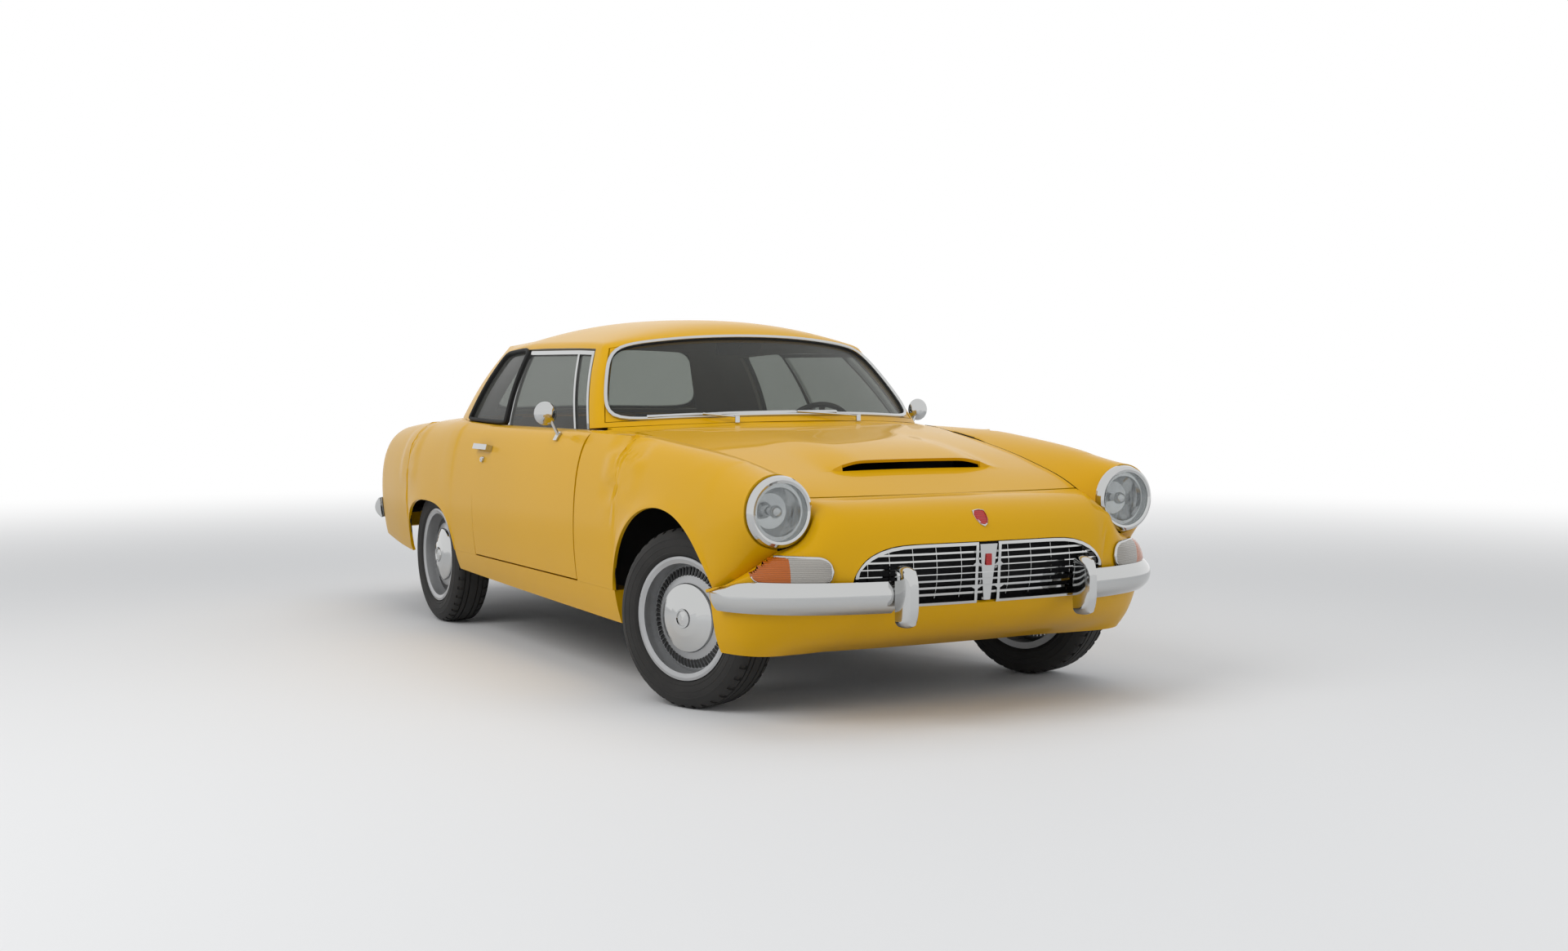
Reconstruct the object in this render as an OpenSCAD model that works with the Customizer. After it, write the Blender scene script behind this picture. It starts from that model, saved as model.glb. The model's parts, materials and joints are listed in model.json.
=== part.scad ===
/* [Overall] */
// Length over the bumpers
length = 4400; // [4300:10:4500]
// Width of the body at its widest line
body_w = 1680; // [1660:2:1710]
// Height of the roof above the ground
height = 1335; // [1310:5:1360]
// Distance between the centre planes of two wheels on one axle
track = 1420; // [1400:2:1430]
// Distance between the axles, as a share of the length
wheelbase_share = 0.561; // [0.555:0.001:0.568]
// Front axle to the foremost point, as a share of the length
overhang_share = 0.182; // [0.178:0.001:0.186]

/* [Body heights] */
// Lower edge of the sills at the front
sill_z = 235; // [225:1:245]
// Rise of the sills' lower edge towards the rear
sill_rise = 45; // [30:1:55]
// Upper edge of the sills, under the doors
sill_top_z = 352; // [345:1:360]
// Belt line at the doors
waist_z = 895; // [880:1:905]
// Thickness of single-skin panels
skin = 12; // [8:1:16]
// Shut line between panels
shut_gap = 6; // [5:0.5:7]

/* [Wheels] */
// Outside diameter of a tyre
tyre_d = 600; // [590:1:606]
// Section width of a tyre
tyre_w = 165; // [155:1:172]
// Diameter of the rim over its flanges
rim_d = 412; // [404:1:420]
// Angle at which the front wheels stand, to the left
steer_angle = 20; // [0:1:20]

/* [Hidden] */
half_l = length / 2;
half_w = body_w / 2;
wheelbase = wheelbase_share * length;
axle_f = half_l - overhang_share * length;
axle_r = axle_f - wheelbase;
wheel_z = tyre_d / 2;

// Place along the wheelbase: 0 at the front axle, 1 at the rear axle
function base_x(u) = axle_f - u * wheelbase;
function mix(a, b, u) = a + (b - a) * u;

// Stations along the car
nose_x = half_l - 88;
lamp_x = nose_x - 182;
seam_x = axle_f + 335;
bonnet_front_x = nose_x - 247;
bonnet_rear_x = base_x(0.2025);
door_front_x = base_x(0.2975);
door_rear_x = base_x(0.743);
b_pillar_x = base_x(0.684);
deck_x = axle_r - 190;
tail_x = 300 - half_l;
haunch_x = mix(tail_x, axle_r, 0.48);

// Foot of the rear pillar: front and rear corners, inset from the widest line, rise over the belt line
c_front_x = base_x(0.8785);
c_front_in = 109;
c_front_rise = 10;
c_rear_x = base_x(0.9635);
c_rear_in = 150;
c_rear_rise = 22;
// Inner face of the doors
door_in = 150;
door_in_y = half_w - door_in;

// Headlamp centre and the radius of the wing's mouth round it
lamp_in = 167;
lamp_y = half_w - lamp_in;
lamp_z = 681;
lamp_r = 122;

// Clearances between pieces that rest on each other: on flat faces, on curved panels, under the rear pillars
seat = 0.3;
plate_gap = 0.6;
foot_gap = 1.4;

// Shape-preserving cubic through column c of a table whose first column ascends
function rise(t, c, i) = (t[i + 1][c] - t[i][c]) / (t[i + 1][0] - t[i][0]);
function slope(t, c, i) =
    i == 0 ? rise(t, c, 0) :
    i == len(t) - 1 ? rise(t, c, i - 1) :
    let (a = rise(t, c, i - 1), b = rise(t, c, i)) a * b <= 0 ? 0 : 2 * a * b / (a + b);
function row_at(t, k, i = 0) = i >= len(t) - 2 || k <= t[i + 1][0] ? i : row_at(t, k, i + 1);
function read(t, c, k) =
    let (i = row_at(t, k), h = t[i + 1][0] - t[i][0], u = min(1, max(0, (k - t[i][0]) / h)))
    t[i][c] * (1 + 2 * u) * (1 - u) * (1 - u) + slope(t, c, i) * h * u * (1 - u) * (1 - u)
    + t[i + 1][c] * u * u * (3 - 2 * u) - slope(t, c, i + 1) * h * u * u * (1 - u);

// Sections of the side, from tail to lamp; insets are measured from the body's widest line.
// x, widest inset, bottom z, tuck, tuck roundness, widest z, crown inset, crown z, inner inset, inner z
SIDE = [
    [tail_x, 52, 335, 26, 0.80, 600, 200, 852, 280, 858],
    [haunch_x, 18, 300, 30, 0.80, 585, 165, 880, 265, 892],
    [axle_r, 0, sill_z + sill_rise, 42, 0.85, 565, 140, 899, 210, 913],
    [c_rear_x, 0, sill_z + sill_rise, 43, 0.85, 563, 124, 902, c_rear_in, waist_z + c_rear_rise - foot_gap],
    [c_front_x, 0, sill_z + 0.8 * sill_rise, 45, 0.85, 560, 102, 902,
     c_front_in, waist_z + c_front_rise - foot_gap],
    [door_rear_x, 0, sill_z + 0.6 * sill_rise, 45, 0.85, 555, 96, waist_z + 2, 104, waist_z + 2],
    [door_front_x, 2, sill_z + 0.1 * sill_rise, 45, 0.85, 555, 95, waist_z + 4, door_in + 5, waist_z + 8],
    [base_x(0.162), 2, sill_z, 42, 0.85, 560, 103, 896, 218, 878],
    [axle_f, 5, 270, 34, 0.85, 575, 125, 868, 262, 826],
    [axle_f + 200, 12, 340, 26, 0.85, 600, 142, 848, 278, 786],
    [seam_x, 22, 420, 22, 0.90, 635, 156, 830, 284, 752],
    [mix(seam_x, lamp_x, 0.54), 34, 482, 60, 0.97, 662, 165, 814, 287, 712],
    [lamp_x, lamp_in - lamp_r, lamp_z - lamp_r, lamp_r, 1, lamp_z, lamp_in, lamp_z + lamp_r,
     lamp_in + lamp_r - 4, lamp_z - 20]];
S_WIDE = 1;
S_LOW = 2;
S_TUCK = 3;
S_ROUND = 4;
S_MID = 5;
S_CROWN_IN = 6;
S_CROWN = 7;
S_INNER_IN = 8;
S_INNER = 9;
function side(c, x) = read(SIDE, c, x);
function wide_y(x) = half_w - side(S_WIDE, x);
function crown_y(x) = half_w - side(S_CROWN_IN, x);
function inner_y(x) = half_w - side(S_INNER_IN, x);

// Shoulder fullness: 1 is an ellipse, less is squarer
shoulder = 0.92;

// Right side at station x: v runs 0 to 1 up the tuck, 1 to 2 over the shoulder, 2 to 3 in to the inner edge
function side_point(x, v) =
    v <= 1 ?
        let (r = side(S_ROUND, x), u = r * (1 - v))
        [x, -wide_y(x) + side(S_TUCK, x) * (1 - sqrt(1 - u * u)) / (1 - sqrt(1 - r * r)),
         mix(side(S_LOW, x), side(S_MID, x), v)] :
    v <= 2 ?
        let (a = 90 * (v - 1))
        [x, -mix(crown_y(x), wide_y(x), pow(max(0, cos(a)), shoulder)),
         mix(side(S_MID, x), side(S_CROWN, x), pow(sin(a), shoulder))] :
    let (u = v - 2)
    [x, -mix(crown_y(x), inner_y(x), u), mix(side(S_CROWN, x), side(S_INNER, x), u * u)];
// Place on the side curve at height z
function side_v(x, z) =
    z < side(S_MID, x) ? (z - side(S_LOW, x)) / (side(S_MID, x) - side(S_LOW, x)) :
    1 + asin(pow((z - side(S_MID, x)) / (side(S_CROWN, x) - side(S_MID, x)), 1 / shoulder)) / 90;

// Wheel arches: centre x, half length, height above the wheel centre, squareness
ARCH_F = [axle_f - 15, 372, 368, 2.15];
ARCH_R = [axle_r + 22, 332, 248, 2.9];
function arch_z(a, x) =
    abs(x - a[0]) >= a[1] ? 0 :
    wheel_z + a[2] * pow(1 - pow(abs(x - a[0]) / a[1], a[3]), 1 / a[3]);
function arch_start(a) = a[0] - a[1];
function arch_end(a) = a[0] + a[1];

// Grids of points and closed panels between an outer and an inner grid
function unit(v) = norm(v) < 1e-6 ? [0, 0, 0] : v / norm(v);
function normal_at(g, i, j) =
    unit(cross(g[min(i + 1, len(g) - 1)][j] - g[max(i - 1, 0)][j],
               g[i][min(j + 1, len(g[0]) - 1)] - g[i][max(j - 1, 0)]));
function sunk(g, t) =
    [for (i = [0:len(g) - 1]) [for (j = [0:len(g[0]) - 1]) g[i][j] - t * normal_at(g, i, j)]];
function steps(a, b, n) = [for (k = [0:n]) a + (b - a) * k / n];
everywhere = function (i, j) true;
module panel(outer, inner, keep = everywhere) {
    n = len(outer);
    m = len(outer[0]);
    kept = function (i, j) i >= 0 && j >= 0 && i < n - 1 && j < m - 1 && keep(i, j);
    at = function (i, j) i * m + j;
    far = n * m;
    faces = [for (i = [0:n - 2]) for (j = [0:m - 2]) if (keep(i, j))
        let (a = at(i, j), b = at(i + 1, j), c = at(i + 1, j + 1), d = at(i, j + 1))
        each concat(
            [[a, d, c], [a, c, b], [far + a, far + c, far + d], [far + a, far + b, far + c]],
            kept(i, j - 1) ? [] : [[a, b, far + b], [a, far + b, far + a]],
            kept(i + 1, j) ? [] : [[b, c, far + c], [b, far + c, far + b]],
            kept(i, j + 1) ? [] : [[c, d, far + d], [c, far + d, far + c]],
            kept(i - 1, j) ? [] : [[d, a, far + a], [d, far + a, far + d]])];
    polyhedron([for (r = outer) each r, for (r = inner) each r], faces);
}
module shell(grid, t, keep = everywhere) panel(grid, sunk(grid, t), keep);
// A layer from height a to height b above a surface
module layer(grid, a, b, keep = everywhere) panel(sunk(grid, -b), sunk(grid, -a), keep);
module both_sides() {
    children();
    mirror([0, 1, 0]) children();
}

lip_low = 14;
lip_high = 36;
// Rows up a side panel: a narrow lip along the lower edge, then even steps to v_top
function lip_rows(x, z, v_top, n) =
    let (a = side_v(x, z), b = side_v(x, z + lip_low), c = side_v(x, z + lip_high))
    concat([a, b], steps(c, v_top, n));
function flared(p, lip) = [p[0], p[1] - lip, p[2]];
// Column of points up the right side at station x, its lip pushed out by flare
function side_column(x, z, v_top, n, flare) =
    let (rows = lip_rows(x, z, v_top, n))
    [for (j = [0:len(rows) - 1]) flared(side_point(x, rows[j]), j < 2 ? flare : 0)];

// Front wings
arch_flare = 7;
function in_arch(a, x) = abs(x - a[0]) < a[1] ? 1 : 0;
function wing_low(x) =
    x >= seam_x ? side(S_LOW, x) :
    in_arch(ARCH_F, x) == 1 ? max(arch_z(ARCH_F, x), sill_top_z + seat) : sill_top_z + seat;
function arch_stations(a, n, from = 0, to = 180) =
    [for (k = [0:n]) a[0] - a[1] * 0.9999 * cos(mix(from, to, k / n))];
wing_stations = concat(
    steps(door_front_x + shut_gap, arch_start(ARCH_F) - 1, 4),
    [for (x = arch_stations(ARCH_F, 12)) if (x < seam_x) x],
    steps(seam_x, lamp_x, 5));
function swell(a, x) = in_arch(a, x) * arch_flare;
wing_grid = [for (x = wing_stations) side_column(x, wing_low(x), 3, 9, x < seam_x ? swell(ARCH_F, x) : 0)];
module front_wings() color("goldenrod") both_sides() shell(wing_grid, skin);

// Nose panel: rows from the centre (0) to the wheel arch (7).
// row, share of the run back to the arch, inset from the widest line, inward angle, bottom z, tuck, widest z
nose_run = nose_x - arch_end(ARCH_F);
NOSE = [
    [0, 0, half_w, 90, 205, 330, 470],
    [1, 0.028, 590, 87, 205, 325, 470],
    [2, 0.112, 380, 80, 207, 300, 470],
    [3, 0.202, 268, 72, 210, 250, 468],
    [4, 0.332, 168, 60, 214, 190, 462],
    [5, 0.52, 84, 40, 219, 110, 456],
    [6, 0.759, 37, 12, 224, 60, 450],
    [7, 1, 24, 0, 228, 34, 446]];
N_BACK = 1;
N_IN = 2;
N_TURN = 3;
N_LOW = 4;
N_TUCK = 5;
N_MID = 6;
function nose(c, q) = read(NOSE, c, q);
function arch_x(a, z) = a[0] + a[1] * pow(1 - pow(max(0, z - wheel_z) / a[2], a[3]), 1 / a[3]);

// Bonnet: centre line heights, by station
BONNET = [
    [bonnet_rear_x - 120, 936],
    [base_x(0.1215), 900],
    [axle_f, 852],
    [axle_f + 250, 788],
    [bonnet_front_x, 716]];
bonnet_bow_front = 34;
bonnet_bow_rear = 70;
function bonnet_z(x, y) =
    let (e = inner_y(x), zc = read(BONNET, 1, x))
    zc - (zc - side(S_INNER, x)) * pow(abs(y) / e, 2.3);
corner_x = bonnet_front_x - bonnet_bow_front;
function bonnet_front(y) = bonnet_front_x - bonnet_bow_front * pow(abs(y) / inner_y(corner_x), 2);
function bonnet_rear(y) = bonnet_rear_x - bonnet_bow_rear * pow(abs(y) / inner_y(bonnet_rear_x), 2);

// Upper edge of the nose: bonnet front, then the wing's inner edge, the lamp's mouth, the wing's lower edge
seam = 0.5;
function nose_top(q) =
    q <= 2 ? let (y = inner_y(corner_x) * q / 2, x = bonnet_front(y) + shut_gap) [x, y, bonnet_z(x, y)] :
    q <= 3 ? let (p = side_point(mix(corner_x + shut_gap, lamp_x, q - 2), 3))
        [p[0], -p[1] - seam, p[2] - seam] :
    q <= 4 ? let (a = mix(190, 270, q - 3))
        [lamp_x, lamp_y + (lamp_r + seam) * cos(a), lamp_z + (lamp_r + seam) * sin(a)] :
    let (p = side_point(mix(lamp_x, seam_x, (q - 4) / 3), 0)) [p[0], -p[1], p[2] - seam];
nose_full = 0.8;
function nose_point(q, z) =
    let (x = nose_x - nose_run * nose(N_BACK, q), y = half_w - nose(N_IN, q),
         mid = nose(N_MID, q), t = nose_top(q), r = 0.97)
    z < mid ?
        let (u = r * (mid - z) / (mid - nose(N_LOW, q)), a = nose(N_TURN, q),
             d = nose(N_TUCK, q) * (1 - sqrt(1 - u * u)) / (1 - sqrt(1 - r * r)))
        [x - d * sin(a), y - d * cos(a), z] :
        let (a = asin(min(1, pow((z - mid) / (t[2] - mid), 1 / nose_full))),
             w = 1 - pow(max(0, cos(a)), nose_full))
        [mix(x, t[0], w), mix(y, t[1], w), z];
// Grille mouth, whose upper edge falls away towards its ends
grille_low = 378;
grille_top = 576;
grille_end = 2.16;
fall_from = 1.2;
fall = 100;
fall_power = 2.4;
function mouth_top(q) =
    grille_top - fall * pow(max(0, (q - fall_from) / (grille_end - fall_from)), fall_power);
function nose_level(q, k) =
    let (low = nose(N_LOW, q), mid = nose(N_MID, q), t = nose_top(q)[2],
         g = q <= grille_end ? mouth_top(q) : min(grille_top, mix(mid, t, 0.5)),
         a = asin(pow((g - mid) / (t - mid), 1 / nose_full)))
    k <= 4 ? mix(low, grille_low, k / 4) :
    k <= 8 ? mix(grille_low, g, (k - 4) / 4) :
    mid + (t - mid) * pow(sin(mix(a, 90, (k - 8) / 6)), nose_full);
function mirrored(p, s) = [p[0], p[1] * s, p[2]];
// Rows that meet the wing's own stations along the seam
nose_half = [0, 0.36, 0.72, 1.08, 1.44, 1.8, 1.98, grille_end, 2.58, 3, 3.33, 3.66, 4, 4.6, 5.2, 5.8, 6.4, 7];
nose_rows = concat([for (k = [len(nose_half) - 1:-1:1]) -nose_half[k]], nose_half);
nose_grid = [for (q = nose_rows) [for (k = [0:14])
    let (z = nose_level(abs(q), k), p = nose_point(abs(q), z))
    mirrored(abs(q) == 7 ? [arch_x(ARCH_F, z), p[1], p[2]] : p, q < 0 ? -1 : 1)]];
beside_mouth = function (i, j) abs(nose_rows[i] + nose_rows[i + 1]) > 2 * grille_end || j < 4 || j > 7;
module nose_panel() color("goldenrod") shell(nose_grid, skin, beside_mouth);

// Bonnet, with a scoop whose lip stands over the slot
scoop_x = axle_f + 248;
scoop_w = 500;
scoop_h = 32;
scoop_run = 560;
function smooth(u) = let (w = min(1, max(0, u))) w * w * (3 - 2 * w);
function bulge(x, y) =
    scoop_h * smooth((scoop_w / 2 + 62 - abs(y)) / 62) * smooth((x - scoop_x + scoop_run) / scoop_run);
bonnet_ys = [for (k = [-10:10]) k / 10];
// u is the share of the run from the rear edge to the lip, then from the lip to the front edge
lip_lean = 5;
function bonnet_x(u, y) =
    u[1] == 0 ? mix(bonnet_rear(y), scoop_x, u[0]) :
    mix(scoop_x + lip_lean, bonnet_front(y), u[1]);
function bonnet_point(u, s, open) =
    let (guess = inner_y(mix(bonnet_rear_x, bonnet_front_x, 0.5)), x0 = bonnet_x(u, s * guess),
         y = s * (inner_y(x0) - shut_gap), x = bonnet_x(u, y))
    [x, y, bonnet_z(x, y) + (open ? bulge(x, y) : 0)];
bonnet_grid = concat(
    [for (u = steps(0, 1, 9)) [for (s = bonnet_ys) bonnet_point([u, 0], s, true)]],
    [for (u = steps(0.0001, 1, 5)) [for (s = bonnet_ys) bonnet_point([1, u], s, false)]]);
module bonnet() color("goldenrod")
    shell(bonnet_grid, skin, function (i, j) i != 9 || j < 5 || j > 14);

// Boot lid: x, inset from the widest line, edge z, centre z
lid_rear_x = tail_x - 155;
LID = [
    [lid_rear_x, 370, 800, 812],
    [lid_rear_x + 40, 318, 822, 834],
    [tail_x + 40, 284, 858, 872],
    [haunch_x, 265, 890, 902],
    [deck_x, 250, 905, 925]];
function lid_y(x) = half_w - read(LID, 1, x);
function lid_z(x, y) =
    mix(read(LID, 3, x), read(LID, 2, x), pow(abs(y) / lid_y(x), 2.2));
lid_bow = 26;
lid_front_bow = 60;
function lid_rear(y) = lid_rear_x - lid_bow * (1 - pow(abs(y) / lid_y(lid_rear_x), 2));
function lid_front(y) = deck_x - shut_gap - lid_front_bow * (1 - pow(abs(y) / lid_y(deck_x), 2));
function lid_point(u, s) =
    let (x0 = mix(lid_rear_x, deck_x, u), y = s * (lid_y(x0) - shut_gap),
         x = mix(lid_rear(y), lid_front(y), u))
    [x, y, lid_z(max(x, lid_rear_x - lid_bow), y) - max(0, lid_rear_x - x) * 0.5];
lid_us = [0, 0.04, 0.1, 0.2, 0.32, 0.45, 0.6, 0.75, 0.88, 1];
lid_grid = [for (u = lid_us) [for (s = steps(-1, 1, 12)) lid_point(u, s)]];
module boot_lid() color("goldenrod") shell(lid_grid, skin);

// Tail: rows from the quarter (0) to the centre (5).
// row, plan x behind tail_x, plan y, inward angle, bottom z, tuck, roundness, mid z, crown inset, crown z
TAIL = [
    [0, 0, half_w - 52, 0, 335, 26, 0.80, 600, 148, 852],
    [1, 108, half_w - 90, -22, 340, 34, 0.82, 602, 118, 838],
    [2, 188, half_w - 165, -52, 346, 44, 0.84, 604, 88, 822],
    [3, 229, half_w - 290, -76, 350, 52, 0.85, 606, 66, 812],
    [4, 248, half_w - 540, -86, 352, 56, 0.85, 607, 56, 812],
    [5, 255, 0, -90, 352, 56, 0.85, 607, 54, 812]];
T_BACK = 1;
T_Y = 2;
T_TURN = 3;
T_LOW = 4;
T_TUCK = 5;
T_ROUND = 6;
T_MID = 7;
T_IN = 8;
T_CROWN = 9;
function tail(c, q) = read(TAIL, c, q);
// Outline of the lid's opening beside row q
function lid_edge(q) =
    q <= 2.5 ? let (x = mix(tail_x, lid_rear_x, q / 2.5), y = lid_y(x)) [x, -y, lid_z(x, y)] :
    let (y = mix(lid_y(lid_rear_x), 0, (q - 2.5) / 2.5), x = lid_rear(y) - shut_gap)
    [x, -y, lid_z(lid_rear_x, y) - 8];
function tail_point(q, v) =
    let (a = tail(T_TURN, q), x = tail_x - tail(T_BACK, q), y = -tail(T_Y, q), in = [-sin(a), cos(a)],
         crown = [x, y] + tail(T_IN, q) * in, e = lid_edge(q))
    v <= 1 ?
        let (r = tail(T_ROUND, q), u = r * (1 - v),
             d = tail(T_TUCK, q) * (1 - sqrt(1 - u * u)) / (1 - sqrt(1 - r * r)))
        [x + d * in[0], y + d * in[1], mix(tail(T_LOW, q), tail(T_MID, q), v)] :
    v <= 2 ?
        let (b = 90 * (v - 1), d = tail(T_IN, q) * (1 - pow(max(0, cos(b)), shoulder)))
        [x + d * in[0], y + d * in[1], mix(tail(T_MID, q), tail(T_CROWN, q), pow(sin(b), shoulder))] :
    let (u = v - 2) [mix(crown[0], e[0], u), mix(crown[1], e[1], u), mix(tail(T_CROWN, q), e[2], u * u)];
function tail_column(q, n) =
    let (h = tail(T_MID, q) - tail(T_LOW, q))
    [for (v = concat([0, lip_low / h], steps(lip_high / h, 3, n))) tail_point(q, v)];

// Rear body: both quarters and the tail in one sheet, from the left door round to the right door
function rear_low(x) =
    in_arch(ARCH_R, x) == 1 ? max(arch_z(ARCH_R, x), x > ARCH_R[0] ? sill_top_z + seat : side(S_LOW, x)) :
    x > ARCH_R[0] ? sill_top_z + seat : side(S_LOW, x);
quarter_stations = concat(
    steps(tail_x, arch_start(ARCH_R) - 1, 5),
    arch_stations(ARCH_R, 10),
    steps(arch_end(ARCH_R) + 1, door_rear_x - shut_gap, 4));
quarter_grid = [for (x = quarter_stations) side_column(x, rear_low(x), 3, 8, swell(ARCH_R, x) * 0.4)];
tail_half = [for (q = [5, 4.5, 4, 3.5, 3, 2.6, 2.2, 1.8, 1.4, 1, 0.66, 0.33]) tail_column(q, 8)];
right_half = concat(tail_half, quarter_grid);
function flipped(g) = [for (i = [len(g) - 1:-1:1]) [for (p = g[i]) mirrored(p, -1)]];
rear_grid = concat(flipped(right_half), right_half);
module rear_body() color("goldenrod") shell(rear_grid, skin);

// Sills, between the arches
sill_in_y = half_w - 100;
sill_stations = steps(arch_end(ARCH_R) + 1, arch_start(ARCH_F) - 1, 10);
sill_grid = [for (x = sill_stations)
    [for (z = steps(side(S_LOW, x), sill_top_z, 3)) side_point(x, side_v(x, z))]];
module sills() color("goldenrod") both_sides()
    panel(sill_grid, [for (c = sill_grid) [for (p = c) [p[0], -sill_in_y, p[2]]]]);

// Doors
door_taper = 24;
door_hinge = [door_front_x - 60, half_w - 8];
// The lining's front corner swings in by this much as the door opens
door_sweep = norm([door_front_x - door_hinge[0], door_hinge[1] - door_in_y]) - (door_hinge[1] - door_in_y);
door_stations = steps(door_rear_x, door_front_x, 10);
door_low = sill_top_z + shut_gap;
door_grid = [for (x = door_stations) side_column(x, door_low, 2, 10, 0)];
function door_lining(p) =
    let (u = (door_front_x - p[0]) / (door_front_x - door_rear_x)) [p[0] + door_taper * u, -door_in_y, p[2]];
module door() panel(door_grid, [for (c = door_grid) [for (p = c) door_lining(p)]]);
module door_right() color("goldenrod") door();
module door_left() color("goldenrod") mirror([0, 1, 0]) door();

// Greenhouse: base and roof-edge lines of a side, from front pillar (0) to the rear pillar's back corner (4).
// row, base x, base y, base z, top x, top y, top z
WALL = [
    [0, base_x(0.3355), half_w - 135, waist_z + 12, base_x(0.4335), half_w - 274, height - 111],
    [1, base_x(0.395), half_w - 108, waist_z + 4, base_x(0.5165), half_w - 260, height - 103],
    [2, b_pillar_x, half_w - 102, waist_z + 4, base_x(0.719), half_w - 260, height - 101],
    [3, c_front_x, half_w - c_front_in, waist_z + c_front_rise, base_x(0.8465), half_w - 278, height - 120],
    [4, c_rear_x, half_w - c_rear_in, waist_z + c_rear_rise, base_x(0.9115), half_w - 325, height - 106]];
wall_bulge = 16;
function wall_point(base, top, t, out) = mix(base, top, t) + wall_bulge * sin(180 * t) * out;
function side_base(g) = [read(WALL, 1, g), -read(WALL, 2, g), read(WALL, 3, g)];
function side_top(g) = [read(WALL, 4, g), -read(WALL, 5, g), read(WALL, 6, g)];
function side_wall(g, t) = wall_point(side_base(g), side_top(g), t, [0, -1, 0.3]);

// Front and rear lines run from corner to corner: s is -1 at the right, 0 at the centre, 1 at the left
screen_base_x = base_x(0.2155);
screen_top_x = base_x(0.399);
screen_top_z = height - 58;
rear_base_x = axle_r - 165;
rear_top_x = base_x(0.966);
rear_top_z = height - 72;
base_rise = 37;
function bowed(corner, mid_x, mid_z, s, n) =
    [mix(mid_x, corner[0], pow(abs(s), n)), -corner[1] * s, mix(mid_z, corner[2], pow(abs(s), 2.3))];
function front_base(s) = bowed(side_base(0), screen_base_x, waist_z + base_rise, s, 2.4);
function front_top(s) = bowed(side_top(0), screen_top_x, screen_top_z, s, 2.2);
function rear_base(s) = bowed(side_base(4), rear_base_x, waist_z + base_rise, s, 2.4);
function rear_top(s) = bowed(side_top(4), rear_top_x, rear_top_z, s, 2.2);
// The walls swell towards the front or the rear in the middle, and sideways at the corners
corner_power = 8;
function swelling(s, ahead) =
    let (w = pow(s, corner_power)) (1 - w) * [0.8 * ahead, 0, 0.6] + w * [0, s, 0.3];
function front_wall(s, t) = wall_point(front_base(s), front_top(s), t, swelling(s, 1));
function rear_wall(s, t) = wall_point(rear_base(s), rear_top(s), t, swelling(s, -1));

// Window edges, as shares of the walls
glass_low = 0.05;
glass_high = 0.93;
levels = [0, glass_low, 0.35, 0.65, glass_high, 1];
pillar_a = 0.965;
pillar_c = 0.78;
side_a = 0.3;
side_c = 3;
across = [-1, -pillar_a, -pillar_c, -0.52, -0.26, 0, 0.26, 0.52, pillar_c, pillar_a, 1];
along = [0, side_a, 1, 1.5, 2, 2.5, side_c, 3.5, 4];
last_across = len(across) - 1;
last_along = len(along) - 1;

// Walls of the greenhouse as one loop: front from right to left, left side, rear, right side.
// Each column is [points, opening below the roof edge: 0 none, 1 screen, 2 side window]
ring = concat(
    [for (s = across) [[for (t = levels) front_wall(s, t)], s < pillar_a && s >= -pillar_a ? 1 : 0]],
    [for (k = [1:last_along - 1]) [[for (t = levels) mirrored(side_wall(along[k], t), -1)],
        along[k] >= side_a && along[k] < side_c ? 2 : 0]],
    [for (k = [last_across:-1:0]) [[for (t = levels) rear_wall(across[k], t)],
        across[k] <= pillar_c && across[k] > -pillar_c ? 1 : 0]],
    [for (k = [last_along - 1:-1:1]) [[for (t = levels) side_wall(along[k], t)],
        along[k] > side_a && along[k] <= side_c ? 2 : 0]]);

// Roof skin between the four top lines
roof_crown = 60;
function roof_point(i, j) =
    let (g = along[i], s = across[j], u = i / last_along, w = (s + 1) / 2,
         right = side_top(g), left = mirrored(right, -1))
    i == 0 ? front_top(s) :
    i == last_along ? rear_top(s) :
    j == 0 ? right :
    j == last_across ? left :
    mix(front_top(s), rear_top(s), u) + mix(right, left, w)
    - mix(mix(side_top(0), side_top(4), u), mirrored(mix(side_top(0), side_top(4), u), -1), w)
    + [0, 0, roof_crown * pow(sin(180 * u), 0.65) * (1 - s * s)];
roof_top = [for (i = [last_along:-1:0]) [for (j = [0:last_across]) roof_point(i, j)]];

// The greenhouse is as thick as its pillars, measured towards a line inside it
pillar_t = 30;
cabin_z = 800;
cabin_front_x = base_x(0.506);
cabin_rear_x = base_x(0.85);
function inward(p) =
    let (x = min(cabin_front_x, max(cabin_rear_x, p[0])))
    p + pillar_t * unit([x - p[0], -p[1] * 0.9, (cabin_z - p[2]) * 0.8]);
function two(a, b, c, d) = [[a, d, c], [a, c, b]];
function two_in(a, b, c, d) = [[a, c, d], [a, b, c]];
function quad_pair(a, b, c, d) =
    concat(two(a, b, c, d), two_in(inward(a), inward(b), inward(c), inward(d)));
function edge_wall(a, b) = [[a, b, inward(b)], [a, inward(b), inward(a)]];
n_ring = len(ring);
n_level = len(levels);
function ring_kept(i, j) =
    j < 0 || j >= n_level - 1 ? j >= n_level - 1 :
    let (w = ring[(i + n_ring) % n_ring][1]) w == 0 || j == n_level - 2 || (w == 1 && j == 0);
ring_faces = [for (i = [0:n_ring - 1]) for (j = [0:n_level - 2]) if (ring_kept(i, j))
    let (p = ring[i][0], q = ring[(i + 1) % n_ring][0], a = p[j], b = q[j], c = q[j + 1], d = p[j + 1])
    each concat(quad_pair(a, b, c, d),
        ring_kept(i, j - 1) ? [] : edge_wall(a, b),
        ring_kept(i + 1, j) ? [] : edge_wall(b, c),
        ring_kept(i, j + 1) ? [] : edge_wall(c, d),
        ring_kept(i - 1, j) ? [] : edge_wall(d, a))];
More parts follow.
